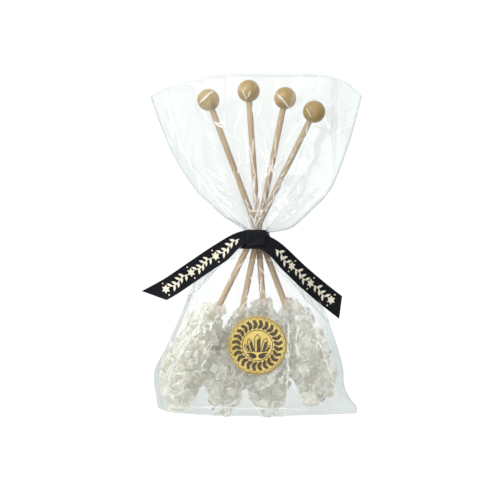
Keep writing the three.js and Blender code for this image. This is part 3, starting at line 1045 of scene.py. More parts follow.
class FilmTube:
    """A tube of film as a table of points: rows run along the bag and columns once round it, front first."""

    def __init__(self, points: np.ndarray, front_columns: int) -> None:
        """Keeps the points and makes their table of creases.

        Args:
            points: Places by row, column and axis.
            front_columns: How many of the columns lie on the front.
        """
        self.points = points
        self.front_columns = front_columns
        self.creased = np.zeros(points.shape[:2])
        self.doubled = np.zeros(points.shape[:2])
        self.bent = np.zeros(points.shape[:2])
        self.ridges: list[Crease] = []

    def normals(self) -> np.ndarray:
        """The outward direction at each point.

        Returns:
            A unit vector for each point of the table.
        """
        along = np.gradient(self.points, axis=0)
        closed = np.concatenate([self.points[:, -2:-1], self.points, self.points[:, 1:2]], axis=1)
        across = (closed[:, 2:] - closed[:, :-2]) / 2
        normal = np.cross(along, across)
        length = np.linalg.norm(normal, axis=2, keepdims=True)
        normal = normal / np.maximum(length, 1e-9)
        middle = self.front_columns // 2
        return normal if normal[len(normal) // 2, middle, 2] > 0 else -normal

    def lift(self, height: np.ndarray) -> None:
        """Moves the points outwards by a table of heights."""
        self.points = self.points + self.normals() * height[..., None]

    def bend(self, folds: Sequence[SoftFold], steps: int = 24) -> None:
        """Adds rounded folds to the front of the film.

        Args:
            folds: The folds.
            steps: How many places along its line a fold is measured from.
        """
        height = np.zeros(self.points.shape[:2])
        for fold in folds:
            places = RowsCurve(fold.line).at(np.linspace(0, 1, steps))
            gap = np.linalg.norm(self.points[..., None, :2] - places, axis=3)
            fade = np.sin(math.pi * (gap.argmin(axis=2) + 0.5) / steps)
            height += fold.height * fade * np.clip(1 - gap.min(axis=2) / fold.half_width, 0, 1)
        height[:, self.front_columns :] = 0
        self.bent += height
        self.lift(height)

    def pinch(self, creases: Sequence[Crease]) -> None:
        """Adds creases to the front of the film.

        Args:
            creases: The creases.
        """
        height = np.zeros(self.points.shape[:2])
        flat = self.points[..., :2]
        for crease in creases:
            start, end = np.array(crease.start), np.array(crease.end)
            run = end - start
            length = np.linalg.norm(run)
            part = np.clip(((flat - start) @ run) / length**2, 0, 1)
            distance = np.linalg.norm(flat - (start + part[..., None] * run), axis=2)
            tent = np.clip(1 - distance / crease.half_width, 0, 1) * np.clip(np.sin(math.pi * part) * 2.5, 0, 1)
            tent[:, self.front_columns :] = 0
            height = np.maximum(height, tent * crease.height)
            # painted glint, partly stress whitening: the whole tent is whitened a little
            self.creased = np.maximum(self.creased, 0.3 * tent * min(1, crease.height / 0.4))
        self.lift(height)
        self.ridges += creases

    def clear_of(self, core: np.ndarray, radius: float) -> None:
        """Pushes points out to a distance from a core.

        Args:
            core: One point, or the core's nearest point to each point of the film.
            radius: The distance that the film keeps.
        """
        offset = self.points - core
        distance = np.linalg.norm(offset, axis=2, keepdims=True)
        self.points = np.where(distance < radius, core + offset / np.maximum(distance, 1e-9) * radius, self.points)

    def clear_of_rod(self, start: Vector, end: Vector, radius: float) -> None:
        """Pushes points out of a rod.

        Args:
            start: One end of the rod's middle line.
            end: The other end.
            radius: The distance that the film keeps from the line.
        """
        begin, run = np.array(start), np.array(end - start)
        part = np.clip(((self.points - begin) @ run) / (run @ run), 0, 1)
        self.clear_of(begin + part[..., None] * run, radius)

    def mesh(self) -> BMesh:
        """The film as a mesh with its attributes, and with the sharp edge of each crease on it.

        Returns:
            The mesh.
        """
        made = sheet_mesh(self.points, {"crease": self.creased, "doubled": self.doubled})
        surface = BVHTree.FromBMesh(made)
        for number, crease in enumerate(self.ridges):
            self.add_ridge(made, surface, crease, number)
        return made

    @staticmethod
    def add_ridge(made: BMesh, surface: BVHTree, crease: Crease, number: int) -> None:
        """Lays the sharp edge of a crease on the front of the film, as a narrow bent tent whose white is partly stress
        whitening and partly a painted glint.

        Args:
            made: The film.
            surface: The film's surface.
            crease: The crease.
            number: Its number, for its unevenness.
        """
        layer = made.verts.layers.float["crease"]
        start, end = Vector(crease.start), Vector(crease.end)
        length = (end - start).length
        ahead = (end - start) / length
        side = Vector((-ahead.y, ahead.x))
        peak = 0.1 if crease.stress_white_and_painted_glint else 0.3
        tent = bmesh.ops.create_grid(made, x_segments=2, y_segments=max(3, round(length / 0.7)), size=1.0)["verts"]
        missed = []
        for vertex in tent:
            across, part = round(vertex.co.x), (vertex.co.y + 1) / 2
            bend = noise.noise(Vector((part * length / 3, number, 0.5))) * 0.5
            half = crease.sharpness * (0.25 + 0.75 * math.sin(math.pi * part))
            place = start.lerp(end, part) + side * (bend + across * half)
            hit = surface.ray_cast(Vector((*place, 90)), Vector((0, 0, -1)))[0]
            if hit is None:
                missed.append(vertex)
                continue
            vertex.co = hit + Vector((0, 0, 0.01 if across else peak))
            # painted glint, partly stress whitening: the ridge line is whitest, its sides a little
            vertex[layer] = (0.3 if across else 1.0) * crease.stress_white_and_painted_glint * min(1, crease.height / 0.3)
        bmesh.ops.delete(made, geom=missed, context="VERTS")


def crumple(rows: int, columns: int, cells: tuple[int, int], seed: int) -> np.ndarray:
    """Flat facets between random heights, as crisp film folds.

    Args:
        rows: Rows of the table.
        columns: Columns of the table.
        cells: How many facets there are along the rows and along the columns.
        seed: The seed of the random heights.

    Returns:
        Heights from -1 to 1.
    """
    source = random.Random(seed)
    corners, heights = [], []
    for i in range(-1, cells[0] + 2):
        for j in range(-1, cells[1] + 2):
            along, across = i + source.uniform(-0.45, 0.45), j + source.uniform(-0.45, 0.45)
            corners.append(Vector((along / cells[0], across / cells[1])))
            heights.append(source.uniform(-1, 1))
    places, _, faces, origins, _, _ = delaunay_2d_cdt(corners, [], [], 0, 1e-6)
    values = np.array([heights[origin[0]] if origin else 0.0 for origin in origins])
    u, v = np.meshgrid(np.linspace(0, 1, rows), np.linspace(0, 1, columns), indexing="ij")
    table = np.zeros((rows, columns))
    for face in faces:
        (ax, ay), (bx, by), (cx, cy) = (places[i] for i in face)
        doubled = (by - cy) * (ax - cx) + (cx - bx) * (ay - cy)
        if abs(doubled) < 1e-12:
            continue
        first = ((by - cy) * (u - cx) + (cx - bx) * (v - cy)) / doubled
        second = ((cy - ay) * (u - cx) + (ax - cx) * (v - cy)) / doubled
        third = 1 - first - second
        inside = (first >= 0) & (second >= 0) & (third >= 0)
        table[inside] = (first * values[face[0]] + second * values[face[1]] + third * values[face[2]])[inside]
    return table


def fan(rows: int, columns: int, pleats: int, drift: float, seed: int) -> np.ndarray:
    """Straight pleats of uneven width and height that run along the film.

    Args:
        rows: Rows of the table.
        columns: Columns of the table.
        pleats: How many ridges and valleys there are round the film.
        drift: How far, in columns, the pleats wander from the first row to the last.
        seed: The seed of the random places and heights.

    Returns:
        Heights from -1 to 1.
    """
    source = random.Random(seed)
    places = np.array(sorted(source.uniform(0, columns) for _ in range(pleats)))
    heights = np.array([source.uniform(0.35, 1) * (-1) ** i for i in range(pleats)])
    drifts = np.array([source.uniform(-drift, drift) for _ in range(pleats)])
    table = np.zeros((rows, columns))
    for row, along in enumerate(np.linspace(0, 1, rows)):
        table[row] = np.interp(np.arange(columns), np.sort(places + drifts * along), heights, period=columns)
    return table


def neighbours(table: np.ndarray) -> list[np.ndarray]:
    """A table and its eight copies moved by one place.

    Args:
        table: The table.

    Returns:
        The nine tables.
    """
    spread = np.pad(table, 1, mode="edge")
    rows, columns = table.shape
    return [spread[i : i + rows, j : j + columns] for i in range(3) for j in range(3)]


def surface_heights(points: np.ndarray, pieces: Sequence[Object], from_above: bool) -> np.ndarray:
    """The height of the uppermost or of the lowest surface of some pieces at each point of a table.

    Args:
        points: Places by row, column and axis, in millimetres.
        pieces: The pieces.
        from_above: Whether the uppermost surface is wanted.

    Returns:
        Heights in millimetres, and NaN where there is no piece.
    """
    found = np.full(points.shape[:2], np.nan)
    trees = []
    for piece in pieces:
        made = bmesh.new()
        made.from_mesh(piece.data)
        trees.append(BVHTree.FromBMesh(made))
        made.free()
    start, heading, better = (0.1, -1, np.fmax) if from_above else (-0.1, 1, np.fmin)
    for row, column in np.ndindex(found.shape):
        x, y, _ = points[row, column] * MM
        for tree in trees:
            hit = tree.ray_cast(Vector((x, y, start)), Vector((0, 0, heading)))[0]
            if hit is not None:
                found[row, column] = better(found[row, column], hit.z / MM)
    return found


def round_columns(front: int, back: int) -> tuple[np.ndarray, np.ndarray]:
    """Places across the film for one turn round it: over the front from right to left, and back underneath.

    Args:
        front: How many columns the front has.
        back: How many columns the back has.

    Returns:
        The place of each column from -1, left, to 1, right, and whether it is on the front.
    """
    turns = np.concatenate([np.linspace(1, -1, front), np.linspace(-1, 1, back + 1)[1:]])
    across = mix(turns, np.sin(turns * math.pi / 2), 0.6)
    return across, np.arange(front + back) < front


@dataclass
class FilmHalf:
    """What both halves of the bag have: how finely their film is made, and the folds that run out from the tie.

    Each gather has its number of pleats, its depth, how far it reaches from the tie and how far its pleats drift. Each
    layer of facets has their numbers along and round the film, and its depth. The base is added to the folds, so with a
    base of 1 they only stand out.
    """

    gathers: tuple
    facets: tuple
    base: float
    seed: int
    rows: int = 152
    front_columns: int = 240
    back_columns: int = 70
    wall: float = 0.06

    def folds(self, from_tie: np.ndarray, start: np.ndarray, share: np.ndarray) -> np.ndarray:
        """Gathers that run out from the tie, and flat facets over the whole film.

        Args:
            from_tie: How far each row is from the tie, from 0 to 1.
            start: How fully each row is gathered, next to the tie.
            share: How much of the facets each row has.

        Returns:
            Heights for the table of points.
        """
        across, _ = round_columns(self.front_columns, self.back_columns)
        size = (self.rows, len(across))
        height = np.zeros(size)
        for pleats, depth, reach, drift in self.gathers:
            fade = start * np.clip(1 - from_tie / reach, 0, 1)
            height += depth * fade * (fan(*size, pleats, drift, self.seed + pleats) + self.base)
        calm = (1 - 0.7 * np.abs(across) ** 8)[None, :] * share
        for number, (cells, depth) in enumerate(self.facets):
            height += (crumple(*size, cells, self.seed + number) + self.base) * depth * calm
        return height


@dataclass
class OpenMouth(FilmHalf):
    """The open half of the bag: film spread from the tie to a rim cut flat, gathered near the tie."""

    left: tuple = (
        (-3.1, 3.35, 13.75), (-3.1, 7.6, 13.75), (-9.5, 11, 12.5), (-16, 15, 11),
        (-22, 20.6, 9.5), (-28.5, 27.5, 8), (-38.5, 42.5, 7), (-46, 60, 6), (-51, 74.5, 5.5),
    )
    right: tuple = (
        (7.6, 3.35, 13.75), (7.6, 7.6, 13.75), (13.5, 8.6, 13), (20, 10.4, 12),
        (29, 18, 10.5), (37, 25.6, 9), (42, 34, 8), (49, 53, 7), (55, 74.5, 6),
    )
    front: tuple = (
        (3.35, 21.5), (7.6, 21.5), (15.2, 22.6), (22.2, 24),
        (30.2, 26), (39.8, 28), (52.2, 30.2), (69.2, 31.5), (84.4, 31.6),
    )
    back: tuple = (
        (3.35, 6), (7.6, 6), (15.2, 4.5), (22.2, 3),
        (30.2, 1.6), (39.8, 0.6), (52.2, 0.1), (69.2, 0), (86.3, 0),
    )
    skew: float = 0.56
    tip: float = 0.35
    gathers: tuple = ((15, 1.5, 1.35, 12.0), (33, 1.0, 0.8, 9.0), (71, 0.5, 0.42, 5.0))
    facets: tuple = (((5, 18), 1.0), ((13, 44), 0.3))
    base: float = 0.0
    soft_folds: tuple = (
        SoftFold(((-22, 55), (-21, 43), (-15, 30), (-11.5, 22)), 2.4, 1.3),
        SoftFold(((-24, 48), (-20, 34), (-14, 25)), 1.6, 0.8),
        SoftFold(((-29, 67.5), (-31.4, 57), (-34.4, 46)), 0.9, 0.6),
        SoftFold(((-28.3, 54), (-29, 42), (-27.5, 29)), 1.4, 0.8),
        SoftFold(((-25.2, 67), (-23, 62), (-20.4, 60)), 0.8, 0.5),
        SoftFold(((0.4, 67), (4, 56), (8.4, 47)), 1.2, 0.8),
        SoftFold(((4.4, 66), (9.4, 60), (10.6, 52)), 0.9, 0.5),
        SoftFold(((4.8, 44), (3.4, 39), (1.6, 35)), 0.6, 0.6),
        SoftFold(((6.2, 40), (5.2, 33), (4.2, 25)), 1.0, 0.6),
        SoftFold(((27.4, 53), (24, 46), (21.4, 40)), 1.3, 0.8),
        SoftFold(((33.4, 58), (31, 52), (31.6, 46)), 1.1, 0.7),
        SoftFold(((37, 48), (30, 42), (27, 36)), 1.5, 0.8),
        SoftFold(((28, 37), (31, 31), (35, 26)), 1.4, 0.7),
        SoftFold(((-2.4, 34), (-3.6, 30), (-5.4, 25)), 0.8, 0.6),
        SoftFold(((-19, 31), (-13.4, 26), (-8, 24)), 1.0, 0.7),
        SoftFold(((19, 37), (15.4, 31), (12.2, 24)), 1.0, 0.7),
        SoftFold(((-43.4, 71.4), (-41.6, 66), (-41, 62)), 1.0, 0.5),
        SoftFold(((-38, 66), (-37, 55), (-36.4, 42)), 1.3, 0.6),
        SoftFold(((46, 73), (45, 60), (42.6, 46)), 1.5, 0.6),
    )
    seed: int = 3

    def build(self) -> Object:
        """Makes the open half.

        Returns:
            The film.
        """
        tube = FilmTube(self.form(), self.front_columns)
        along = np.linspace(0, 1, self.rows)[:, None]
        tube.lift(self.folds(along, smooth_between(0.02, 0.14, along), smooth_between(0.05, 0.3, along)))
        tube.bend(self.soft_folds)
        tube.pinch(self.creases())
        for stick in STICKS:
            tube.clear_of(np.array(stick.bead), BEAD_RADIUS + 0.3)
            tube.clear_of_rod(Vector(stick.bead), stick.at_y(TIE_Y), DOWEL_RADIUS + 0.2)
        tube.points[..., 2] = np.maximum(tube.points[..., 2], TABLE_GAP)
        self.layers(tube)
        return add_piece("film_mouth", tube.mesh(), Finish.FILM, ["bag_mouth"], wall=self.wall)

    def layers(self, tube: FilmTube) -> None:
        """Sets where the film is thicker: a little all over, in the strip folded at the right, and at its edges; along
        its soft folds the darker tint is painted shade.

        Args:
            tube: The film.
        """
        across, is_front = round_columns(self.front_columns, self.back_columns)
        tube.doubled[:] = mix(0.31, 0.2, across**2) + 0.5 * smooth_between(0.984, 0.996, np.abs(across))
        x, y = tube.points[..., 0], tube.points[..., 1]
        tube.doubled += 0.3 * smooth_between(84.0, 84.3, y) * ~is_front
        strip = smooth_between(39.4, 39.9, x) * (1 - smooth_between(42.2, 42.7, x)) * smooth_between(36, 50, y)
        strip[:, self.front_columns :] = 0
        rim = np.zeros_like(strip)
        rim[-2:] = 0.5
        # painted shade: the soft folds get a darker tint in step with their height
        tube.doubled += 0.3 * strip + 0.4 * rim + 0.16 * tube.bent

    def form(self) -> np.ndarray:
        """The smooth form of the film.

        Returns:
            Its points by row, column and axis.
        """
        across, is_front = round_columns(self.front_columns, self.back_columns)
        along = np.linspace(0, 1, self.rows)[:, None]
        left, right = RowsCurve(self.left).at(along[:, 0]), RowsCurve(self.right).at(along[:, 0])
        front, back = RowsCurve(self.front).at(along[:, 0]), RowsCurve(self.back).at(along[:, 0])
        part = (across + 1) / 2
        side = mix(left[:, None, :], right[:, None, :], part[None, :, None])
        middle = np.where(is_front[None, :, None], front[:, None, :], back[:, None, :])
        fullness, steepness = mix(4.0, 2.0, along**0.5), mix(0.25, 0.8, along**0.5)
        peak = np.where(is_front, self.skew * along, 0)
        away = np.abs(across - peak) / np.where(across > peak, 1 - peak, 1 + peak)
        rise = np.clip(1 - away**fullness, 0, 1) ** steepness
        tip = self.tip * along
        far = np.abs(across - tip) / np.where(across > tip, 1 - tip, 1 + tip)
        points = side.copy()
        points[..., 1] = mix(side[..., 1], middle[..., 0], 1 - far**4)
        points[..., 2] = side[..., 2] + rise * (middle[..., 1] - side[..., 2])
        return points

    def creases(self) -> list[Crease]:
        """The sharp creases: a long fold down the right side, the few that cross beads and sticks, and many short ones;
        their white edges are partly stress whitening and partly painted glints.

        Returns:
            The creases.
        """
        source = random.Random(self.seed + 2)
        made = [
            Crease((41.6, 83.5), (41.2, 36.0), 0.7, 0.35),
            # creases across the beads and beside stick 1, whitened as painted glints
            Crease((-26.4, 70.4), (-19.2, 77.0), 0.3, 0.34, 0.18),
            Crease((-26.2, 71.8), (-22.8, 73.2), 0.3, 0.3, 0.12),
            Crease((12.4, 75.4), (18.2, 68.4), 0.3, 0.34, 0.17),
            Crease((12.8, 73.6), (15.6, 72.6), 0.3, 0.3, 0.13),
            Crease((-18.8, 61.2), (-14.4, 58.2), 0.6, 0.45, 0.3),
            Crease((-18.0, 59.8), (-14.6, 61.4), 0.5, 0.4, 0.16),
            Crease((-2.2, 16.8), (8.6, 17.4), 0.5, 0.4),
            Crease((-4.7, 77.2), (-2.8, 72.0), 0.3, 0.22, 0.12),
            Crease((-0.4, 76.6), (-2.2, 73.0), 0.3, 0.2, 0.12),
            Crease((26.6, 68.4), (29.6, 63.4), 0.3, 0.25, 0.12),
        ]
        neck = np.array((NECK_MIDDLE, TIE_Y))
        for _ in range(60):
            turn = source.gauss(math.pi / 2, 0.55)
            reach = mix(9, 80, source.random() ** 1.25)
            start = neck + reach * np.array((math.cos(turn), math.sin(turn)))
            heading = turn + source.gauss(0, 0.35)
            run = source.uniform(4, 20) * np.array((math.cos(heading), math.sin(heading)))
            height = source.uniform(0.12, 0.36)
            path = start + np.linspace(0, 1, 9)[:, None] * run
            if min(np.linalg.norm(path - np.array(stick.bead[:2]), axis=1).min() for stick in STICKS) > BEAD_RADIUS:
                made.append(Crease(tuple(start), tuple(start + run), 0.6, height, 0.1))
        return made + self.streaks(source)

    @staticmethod
    def streaks(source: random.Random) -> list[Crease]:
        """Short slanting creases where the film is drawn over the sticks near the tie and below the beads; two in three
        are whitened as painted highlight streaks.

        Args:
            source: Where their unevenness comes from.

        Returns:
            The creases.
        """
        made = []
        for stick, (low, high), count in zip(STICKS, ((6, 24), (8, 40), (10, 46), (8, 58)), (7, 11, 13, 15)):
            for i in range(count):
                middle = stick.at_y(mix(low, high, (i + source.random()) / count))
                ahead = math.atan2(stick.direction.y, stick.direction.x)
                heading = ahead + source.choice((-1, 1)) * source.uniform(0.1, 0.5)
                run = source.uniform(1.2, 2.8) * Vector((math.cos(heading), math.sin(heading)))
                aside = source.uniform(-1.0, 1.0)
                start, end = middle.xy - run, middle.xy + run
                # painted highlight: two in three of these creases are whitened
                height, white = source.uniform(0.15, 0.34), float(i % 3 > 0)
                made.append(Crease((start.x + aside, start.y), (end.x + aside, end.y), 0.45, height, 0.14, white))
        return made


@dataclass
class ShutPouch(FilmHalf):
    """The shut half of the bag: film from the seal to the tie, stretched over the candies."""

    stations: tuple = (
        (SEAL_Y, -46.5, 52.6, 0.5, 0.9, 0), (-83.7, -46.8, 52.5, 0.8, 5, -0.8), (-81, -47.2, 52, 2, 11, -1.5),
        (-76, -47.6, 48.2, 5, 14.4, -1.5), (-69.5, -48.4, 45.6, 7, 15.4, -1.5), (-62, -47.8, 45, 8, 15.4, -1.5),
        (-52.5, -42.6, 42.4, 8.5, 15.2, -1.5), (-42.5, -37.8, 38.8, 9, 14.6, -0.8),
        (-32.5, -33.2, 35, 9.5, 14.4, 0.6), (-25, -30.2, 30, 10.5, 15.4, 2), (-17.5, -26.2, 22.6, 11.8, 17.4, 3.6),
        (-10, -18, 15.6, 13, 19.6, 5), (-3, -7, 10, 13.7, 21, 5.9),
        (3.05, NECK_LEFT, NECK_RIGHT, NECK_SIDE, NECK_FRONT, NECK_BACK),
    )
    seal_bow: float = -1.3
    seal_corner: float = 3.2
    gathers: tuple = ((13, 0.75, 1.1, 10.0), (29, 0.5, 0.7, 8.0), (61, 0.25, 0.4, 5.0))
    facets: tuple = (((6, 22), 0.35), ((16, 54), 0.1))
    base: float = 1.0
    clearance: float = 0.25
    envelope: int = 3  # how many points far the film bridges round each crystal
    pressed: float = 0.35  # how far the film keeps below what lies on it
    ease: int = 8  # points round about that are eased down too
    ease_rise: float = 0.3
    rounds: int = 900
    seed: int = 11

    def build(self, contents: Sequence[Object], above: Sequence[Object]) -> Object:
        """Makes the shut half.

        Args:
            contents: What the film lies over.
            above: What lies on the film.

        Returns:
            The film.
        """
        tube = FilmTube(self.form(), self.front_columns)
        self.settle(tube, contents)
        along = np.linspace(0, 1, self.rows)[:, None]
        share = smooth_between(0.02, 0.1, along) * smooth_between(0, 0.2, 1 - along)
        folds = self.folds(1 - along, smooth_between(0.0, 0.1, 1 - along), share)
        tube.lift(self.flat_under_label(folds))
        tube.pinch(self.creases())
        self.keep_below(tube, above)
        tube.points[..., 2] = np.maximum(tube.points[..., 2], TABLE_GAP)
        x, y = tube.points[..., 0], tube.points[..., 1]
        # the back film is tinted darker towards the bottom and towards the right
        depth = (1 - smooth_between(-72, -20, y)) * mix(0.7, 1.0, smooth_between(30, 50, x))
        across, is_front = round_columns(self.front_columns, self.back_columns)
        edge = 0.03 + 0.35 * smooth_between(0.66, 0.94, -across) * (1 - smooth_between(-50, -25, y))
        tube.doubled = np.where(is_front, edge, 0.08 + 1.35 * depth)
        tube.ridges += self.glints()
        return add_piece("film_pouch", tube.mesh(), Finish.FILM, ["bag_pouch"], wall=self.wall)

    def form(self) -> np.ndarray:
        """The film before it settles on the candies.

        Returns:
            Its points by row, column and axis.
        """
        across, is_front = round_columns(self.front_columns, self.back_columns)
        along = np.linspace(0, 1, self.rows)[:, None]
        y, left, right, side, front, back = (RowsCurve(self.stations).at(along[:, 0])[:, i : i + 1] for i in range(6))
        fullness, steepness = mix(2.2, 4.0, along**3), mix(0.7, 0.25, along**3)
        up = np.clip(1 - np.abs(across) ** fullness, 0, 1) ** steepness
        down = np.clip(1 - np.abs(across) ** 5, 0, 1) ** 0.4
        bow = self.seal_bow * (1 - across**2) + self.seal_corner * np.maximum(0, -across) ** 6
        points = np.zeros((self.rows, len(across), 3))
        points[..., 0] = mix(left, right, (across + 1) / 2)
        points[..., 1] = y + bow * (1 - along) ** 6
        points[..., 2] = np.where(is_front, side + up * (front - side), side - down * (side - back))
        return points

    def settle(self, tube: FilmTube, contents: Sequence[Object]) -> None:
        """Lays the film round the candies: on top, as a stretched skin touches only what stands highest.

        Args:
            tube: The film.
            contents: What it lies over.
        """
        under = self.heights_below(tube, contents)
        front = slice(0, self.front_columns)
        height = tube.points[:, front, 2].copy()
        label_gap = np.linalg.norm(tube.points[:, front, :2] - np.array(LABEL_CENTRE), axis=2)
        seat = label_gap < LABEL_RADIUS + 0.6
        for _ in range(self.rounds):
            inner = (height[:-2, 1:-1] + height[2:, 1:-1] + height[1:-1, :-2] + height[1:-1, 2:]) / 4
            height[1:-1, 1:-1] = np.maximum(inner, under[1:-1, 1:-1])
            height[seat] = LABEL_Z - 0.25
        tube.points[:, front, 2] = height
        back = tube.points[:, self.front_columns : -1]
        over = surface_heights(back, contents, from_above=False)
        floor = np.where(np.isnan(over), back[..., 2], np.minimum(over - self.clearance, back[..., 2]))
        floor = np.min(neighbours(floor), axis=0)
        back[..., 2] = np.minimum(back[..., 2], np.mean(neighbours(floor), axis=0))

    def heights_below(self, tube: FilmTube, contents: Sequence[Object]) -> np.ndarray:
        """How high the film must lie over the contents.

        Args:
            tube: The film.
            contents: What it lies over.

        Returns:
            A height for each point of the front.
        """
        front = tube.points[:, : self.front_columns]
        found = surface_heights(front, contents, from_above=True)
        found = np.where(np.isnan(found), 0, found + self.clearance)
        for _ in range(self.envelope):
            found = np.max(neighbours(found), axis=0)
        for _ in range(self.envelope - 1):
            found = np.mean(neighbours(found), axis=0)
        return found

    def keep_below(self, tube: FilmTube, above: Sequence[Object]) -> None:
        """Presses the front of the film down under what lies on it, and eases it down round about.

        Args:
            tube: The film.
            above: What lies on it.
        """
        front = tube.points[:, : self.front_columns]
        found = surface_heights(front, above, from_above=False)
        ceiling = np.where(np.isnan(found), 99, found - self.pressed)
        for _ in range(self.ease):
            ceiling = np.minimum(ceiling, np.min(neighbours(ceiling), axis=0) + self.ease_rise)
        front[..., 2] = np.minimum(front[..., 2], ceiling)

    @staticmethod
    def glints() -> list[Crease]:
        """Many tiny whitened creases scattered over the candies, whose white edges are painted glints.

        Returns:
            The creases.
        """
        source = random.Random(31)
        made = []
        for stick in STICKS:
            for _ in range(45):
                x, y, _, radius = stick.axis.at(source.random())
                middle = Vector((x, y)) + Vector((source.uniform(-0.9, 0.9), source.uniform(-0.6, 0.6))) * radius
                turn = source.uniform(0, math.pi)
                run = source.uniform(0.35, 1.3) * Vector((math.cos(turn), math.sin(turn)))
                if (middle - Vector(LABEL_CENTRE)).length > LABEL_RADIUS + 1.6:
                    made.append(Crease(tuple(middle - run), tuple(middle + run), 0.3, 0.3, source.uniform(0.1, 0.22)))
        return made

    def flat_under_label(self, height: np.ndarray) -> np.ndarray:
        """Takes the folds away where the label holds the film flat.

        Args:
            height: The height of the folds at each point.

        Returns:
            The heights that are left.
        """
        points = self.form()
        gap = np.linalg.norm(points[..., :2] - np.array(LABEL_CENTRE), axis=2)
        held = smooth_between(LABEL_RADIUS + 0.3, LABEL_RADIUS + 2.5, gap)
        held[:, self.front_columns :] = 1
        return height * held

    def creases(self) -> list[Crease]:
        """The sharp creases: the folds beside both edges, the one beside the label, the seal, and many short ones;
        their white edges are partly stress whitening and partly painted glints, and the short ones between the two left
        candies lighten that hollow.

        Returns:
            The creases.
        """
        source = random.Random(self.seed + 2)
        made = [
            Crease((18.4, -38.0), (17.9, -58.0), 0.5, 0.3),
            Crease((17.9, -57.0), (17.5, -84.0), 0.5, 0.22),
            Crease((-8.0, -8.5), (-26.5, -38.0), 0.5, 0.2),
            Crease((-25.5, -38.0), (-40.5, -63.0), 0.5, 0.26),
            Crease((-39.5, -60.0), (-44.2, -80.0), 0.5, 0.2),
            Crease((11.0, -10.0), (28.0, -34.0), 0.5, 0.2),
            Crease((30.0, -38.0), (44.0, -78.0), 0.5, 0.2),
            Crease((-45.5, -80.6), (51.0, -82.6), 0.5, 0.3),
        ]
        # painted glints: short whitened creases that lighten the hollow between the two left candies
        for _ in range(22):
            middle = Vector((source.uniform(-31, -18), source.uniform(-66, -34)))
            turn = math.atan2(TIE_Y - middle.y, NECK_MIDDLE - middle.x) + source.gauss(0, 0.45)
            run = source.uniform(0.8, 2.6) * Vector((math.cos(turn), math.sin(turn)))
            made.append(Crease(tuple(middle - run), tuple(middle + run), 0.5, 0.3, source.uniform(0.16, 0.34)))
        label = np.array(LABEL_CENTRE)
        while len(made) < 122:
            start = np.array((source.uniform(-44, 46), source.uniform(-82, -6)))
            heading = math.atan2(TIE_Y - start[1], NECK_MIDDLE - start[0]) + source.gauss(0, 0.5)
            run = source.uniform(2.5, 10) * np.array((math.cos(heading), math.sin(heading)))
            clear = min(np.linalg.norm(start - label), np.linalg.norm(start + run - label)) > LABEL_RADIUS + 1.5
            if clear and min(start[1], start[1] + run[1]) > -76 and max(start[0], start[0] + run[0]) < 40:
                half_width, height = source.uniform(0.4, 0.55), source.uniform(0.1, 0.3)
                made.append(Crease(tuple(start), tuple(start + run), half_width, height))
        return made


# ---------------------------------------------------------------- printed ornament


def on_circle(radius: float, turn: float) -> tuple[float, float]:
    """The point of a circle round the middle at a turn from +X."""
    return radius * math.cos(turn), radius * math.sin(turn)


class PrintSheet:
    """Ornament drawn flat in millimetres and then laid on a surface, a little proud of it."""

    def __init__(self, thickness: float = 0.04) -> None:
        """Starts an empty sheet whose ink is thickness millimetres deep."""
        self.made = bmesh.new()
        self.thickness = thickness

    def outline(self, points: Sequence[tuple[float, float]]) -> None:
        """Prints a filled outline.

        Args:
            points: The outline's corners.
        """
        corners = [self.made.verts.new((x, y, 0)) for x, y in points]
        face = self.made.faces.new(corners)
        raised = bmesh.ops.extrude_face_region(self.made, geom=[face])
        top = [item for item in raised["geom"] if isinstance(item, BMVert)]
        bmesh.ops.translate(self.made, vec=(0, 0, self.thickness), verts=top)

    def leaf(self, foot: tuple[float, float], heading: float, length: float, width: float, steps: int = 5) -> None:
        """Prints a pointed leaf.

        Args:
            foot: Where it starts.
            heading: The way that it points, in radians.
            length: Its length.
            width: Its width.
            steps: How many points each side has.
        """
        upper = [(i / steps, math.sin(math.pi * (i / steps) ** 0.8) / 2) for i in range(1, steps)]
        shape = [(0.0, 0.0), *upper, (1.0, 0.0), *((t, -side) for t, side in reversed(upper))]
        cos, sin = math.cos(heading), math.sin(heading)
        self.outline(
            [
                (foot[0] + t * length * cos - s * width * sin, foot[1] + t * length * sin + s * width * cos)
                for t, s in shape
            ]
        )

    def dot(self, centre: tuple[float, float], radius: float, sides: int = 10) -> None:
        """Prints a dot or, with few sides, a lozenge."""
        turns = [math.tau * i / sides for i in range(sides)]
        self.outline([(centre[0] + radius * math.cos(a), centre[1] + radius * math.sin(a)) for a in turns])

    def stroke(self, points: Sequence[tuple[float, float]], width: float) -> None:
        """Prints a line of even width.

        Args:
            points: The points that it runs through.
            width: Its width.
        """
        path = np.array(points, float)
        ahead = np.gradient(path, axis=0)
        side = np.stack([-ahead[:, 1], ahead[:, 0]], axis=1)
        side *= width / 2 / np.linalg.norm(side, axis=1, keepdims=True)
        for i in range(len(path) - 1):
            corners = (path[i] + side[i], path[i] - side[i], path[i + 1] - side[i + 1], path[i + 1] + side[i + 1])
            self.outline([tuple(corner) for corner in corners])

    def ring(self, radius: float, width: float, sides: int = 96) -> None:
        """Prints a ring round the middle of the sheet."""
        turns = [math.tau * i / sides for i in range(sides + 1)]
        self.stroke([on_circle(radius, turn) for turn in turns], width)

    def laid(self, place: Callable[[float, float, float], Sequence[float]]) -> BMesh:
        """Lays the print on a surface.

        Args:
            place: The place for two coordinates on the sheet and a height above it.

        Returns:
            The print's mesh.
        """
        for vertex in self.made.verts:
            vertex.co = place(*vertex.co)
        return self.made


# ---------------------------------------------------------------- label


